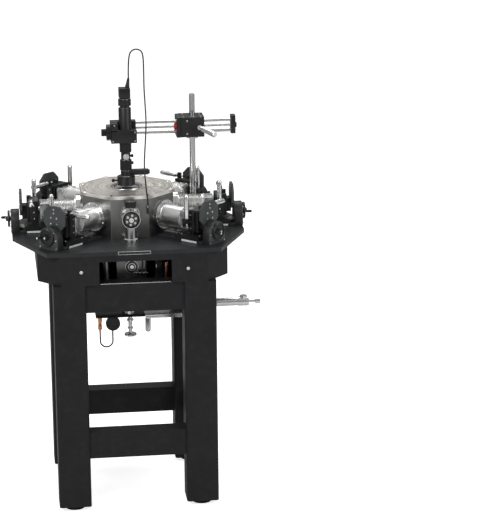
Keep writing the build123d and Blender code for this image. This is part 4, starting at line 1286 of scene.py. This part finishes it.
class STATION_OT_deck_and_skirt(bpy.types.Operator):
    """Skirt screws, bare plate, closing pan, vacuum tail, and a steel strip in the notch that paints the
    highlight on the rail's top edge
    """

    bl_idname = "station.deck_and_skirt"
    bl_label = "Deck and Skirt"

    def execute(self, context):
        screws = Piece("skirt_screws")
        for x in (-0.166, 0.166):
            screws.cap_screw((x, -0.254, 0.788), MINUS_Y, 0.0055, 0.003)
        screws.finish(ROOT, "satin_chrome", slot="stainless")
        plate = Piece("bare_plate")
        plate.block((-0.05, -0.2545, 0.8393), (0.05, -0.2536, 0.8488), 0.0002, 1)
        plate.slot = 1
        plate.block((-0.0494, -0.2547, 0.84), (0.0494, -0.2544, 0.8482), 0.0001, 1)
        plate.finish(ROOT, "bare_label", "label_ink", slot="alloy")
        pan = Piece("skirt_pan")
        for low, high in (
            ((-0.184, -0.184), (-0.03, 0.184)), ((0.03, -0.184), (0.184, 0.184)),
            ((-0.03, -0.184), (0.03, 0.03)), ((-0.03, 0.09), (0.03, 0.184)),
        ):
            pan.block((*low, 0.6505), (*high, 0.6525), 0.0003, 1)
        pan.block((-0.184, 0.181, 0.636), (0.184, 0.184, 0.662), 0.0003, 1)
        pan.finish(ROOT, "frame_powder_coat", slot="stand_grey")
        self.tail()
        # Painted highlight: a bright steel strip laid along the rail's top edge in the notch, where that edge
        # catches the light.
        strip = Piece("notch_highlight_strip")
        strip.block((-0.108, -0.245, 0.744), (0.1125, -0.2385, 0.7462), 0.0006)
        strip.finish(ROOT, "brushed_steel", slot="stainless")
        return {"FINISHED"}

    def tail(self):
        """Plates and small fittings of the vacuum tail behind the notch."""
        plate = Piece("tail_plate")
        plate.block((-0.05, TAIL_Y, 0.7), (0.043, -0.142, 0.832), 0.0008)
        plate.bar(0.0085, (-0.083, TAIL_Y, 0.7), (-0.083, TAIL_Y, 0.832))
        plate.bar(0.0045, (0.036, -0.1568, 0.768), (0.036, -0.1568, 0.83))
        plate.block((-0.03, -0.143, 0.76), (0.03, -0.02, 0.82), 0.001)
        # The tail plate takes the darker copy of the chamber steel, which is painted shade.
        plate.finish(ROOT, "chamber_steel_painted_shade", slot="stainless")
        port = Piece("tail_port")
        face = pointing((-0.003, -0.1505, 0.7745), MINUS_Y)
        port.turned(
            [(0, 0), (0.0205, 0), (0.0205, 0.009), (0.0165, 0.0095), (0.016, 0.0065), (0, 0.0065)],
            face,
        )
        port.slot = 1
        port.turned(
            [(0.0195, 0.0085), (0.0206, 0.0085), (0.0206, 0.0105), (0.0195, 0.0105), (0.0195, 0.0085)],
            face,
        )
        port.turned(
            [(0.0105, 0.006), (0.0125, 0.006), (0.012, 0.013), (0.0108, 0.013), (0.0105, 0.006)],
            face,
        )
        port.turned([(0, 0.006), (0.0065, 0.006), (0.006, 0.0145), (0, 0.0145)], face)
        port.bar(0.0032, (0, -0.166, 0.7565), (0.046, -0.166, 0.7555))
        for x in (0.003, 0.014, 0.026, 0.037):
            port.bar(0.005, (x, -0.166, 0.7564), (x + 0.0055, -0.166, 0.7563), 0.0006, 6)
        port.finish(ROOT, "dark_screw", "satin_chrome", slot="stainless")
        dark = Piece("tail_gauge")
        dark.block((0.072, TAIL_Y, 0.7), (0.098, -0.06, 0.826), 0.002)
        dark.bar(0.007, (0.085, -0.155, 0.778), (0.085, -0.1495, 0.778))
        dark.slot = 1
        for z in (0.795, 0.767):
            dark.block((0.0735, -0.1508, z), (0.0765, -0.1498, z + 0.009), 0.0002, 1)
        dark.finish(ROOT, "knob_plastic", "satin_chrome", slot="knob_black")
        joint = Piece("tail_joint")
        joint.bar(0.006, (0.106, TAIL_Y, 0.7), (0.106, TAIL_Y, 0.785))
        joint.finish(ROOT, "copper_fitting", slot="copper_chuck")


class STATION_OT_fittings(bpy.types.Operator):
    """Shelf under the vacuum neck with its copper connector, regulator and small valves"""

    bl_idname = "station.fittings"
    bl_label = "Hose Fittings"

    def execute(self, context):
        shelf = Piece("shelf_plate")
        shelf.block((-0.11, 0.03, SHELF_TOP), (0.05, 0.09, 0.56), 0.0008)
        shelf.slot = 1
        shelf.block((0.0498, 0.0302, 0.5541), (0.18, 0.0898, 0.5599), 0.0008)
        shelf.block((0.052, 0.0295, 0.5475), (0.18, 0.0335, 0.5545), 0.0006)
        shelf.finish(ROOT, "deck_satin", "brushed_steel", replaces=("fitting_shelf",), slot="fitting_dark")
        dark = Piece("regulator")
        dark.turned(
            [
                (0, 0), (0.0225, 0), (0.0235, 0.0012), (0.0235, 0.0115), (0.0225, 0.0125), (0.0215, 0.0125),
                (0.0208, 0.0118), (0, 0.0118),
            ],
            pointing((-0.055, 0.04, 0.5345), MINUS_Y),
        )
        dark.block((-0.07, 0.0395, 0.531), (-0.04, 0.08, 0.5545), 0.001)
        dark.finish(ROOT, "knob_plastic", slot="knob_black")
        metal = Piece("hose_connectors")
        profile = [(0, 0.502), (0.0045, 0.502), (0.0045, 0.508)]
        profile += knurled_profile(0.0068, 0.509, 0.52, 0.0022, 0.0004)
        profile += [
            (0.0058, 0.522), (0.0058, 0.534), (0.007, 0.5345), (0.007, 0.548), (0.0062, 0.5485),
            (0.0062, SHELF_TOP), (0, SHELF_TOP),
        ]
        metal.turned(profile, Matrix.Translation((-0.096, 0.06, 0)), 36)
        metal.slot = 1
        profile = [(0, 0.484), (0.018, 0.484)]
        profile += knurled_profile(0.02, 0.4855, 0.4905, 0.002, 0.0008)
        profile += [(0.018, 0.492), (0.0055, 0.4925), (0.0055, 0.506)]
        profile += [
            (0.0095, 0.507), (0.0095, 0.512), (0.0065, 0.513), (0.0065, 0.533), (0.011, 0.534), (0.011, 0.54),
            (0.0065, 0.541), (0.0065, SHELF_TOP), (0, SHELF_TOP),
        ]
        metal.turned(profile, Matrix.Translation((0.003, 0.06, 0)), 40)
        metal.turned(
            [
                (0, 0.495), (0.0062, 0.495), (0.0092, 0.4985), (0.0092, 0.54), (0.0078, 0.543),
                (0.0078, SHELF_TOP), (0, SHELF_TOP),
            ],
            Matrix.Translation((0.061, 0.06, 0)),
            36,
        )
        metal.finish(ROOT, "copper_fitting", "brushed_steel", slot="copper_chuck")
        return {"FINISHED"}


OPERATORS = (
    STATION_OT_stage,
    STATION_OT_camera_cable,
    STATION_OT_frame_finishes,
    STATION_OT_chamber,
    STATION_OT_sleeves,
    STATION_OT_manipulator_bases,
    STATION_OT_arms,
    STATION_OT_micrometers,
    STATION_OT_drive_wheels,
    STATION_OT_stages,
    STATION_OT_microscope,
    STATION_OT_boom,
    STATION_OT_deck_and_skirt,
    STATION_OT_fittings,
)


class STATION_PT_panel(bpy.types.Panel):
    bl_idname = "STATION_PT_panel"
    bl_label = "Probe Station"
    bl_space_type = "VIEW_3D"
    bl_region_type = "UI"
    bl_category = "Probe Station"

    def draw(self, context):
        layout = self.layout
        for settings in (
            context.scene.station_colours, context.scene.station_sizes, context.scene.stage_settings,
        ):
            box = layout.box()
            for name in settings.__annotations__:
                box.prop(settings, name)
        for operator in OPERATORS:
            layout.operator(operator.bl_idname)


CLASSES = (StationColours, StationSizes, StageSettings, *OPERATORS, STATION_PT_panel)


def register():
    for cls in CLASSES:
        bpy.utils.register_class(cls)
    bpy.types.Scene.station_colours = bpy.props.PointerProperty(type=StationColours)
    bpy.types.Scene.station_sizes = bpy.props.PointerProperty(type=StationSizes)
    bpy.types.Scene.stage_settings = bpy.props.PointerProperty(type=StageSettings)


def unregister():
    del bpy.types.Scene.stage_settings
    del bpy.types.Scene.station_sizes
    del bpy.types.Scene.station_colours
    for cls in reversed(CLASSES):
        bpy.utils.unregister_class(cls)


def main():
    register()
    make_materials()
    for operator in OPERATORS:
        group, action = operator.bl_idname.split(".")
        getattr(getattr(bpy.ops, group), action)()


if __name__ == "__main__":
    main()
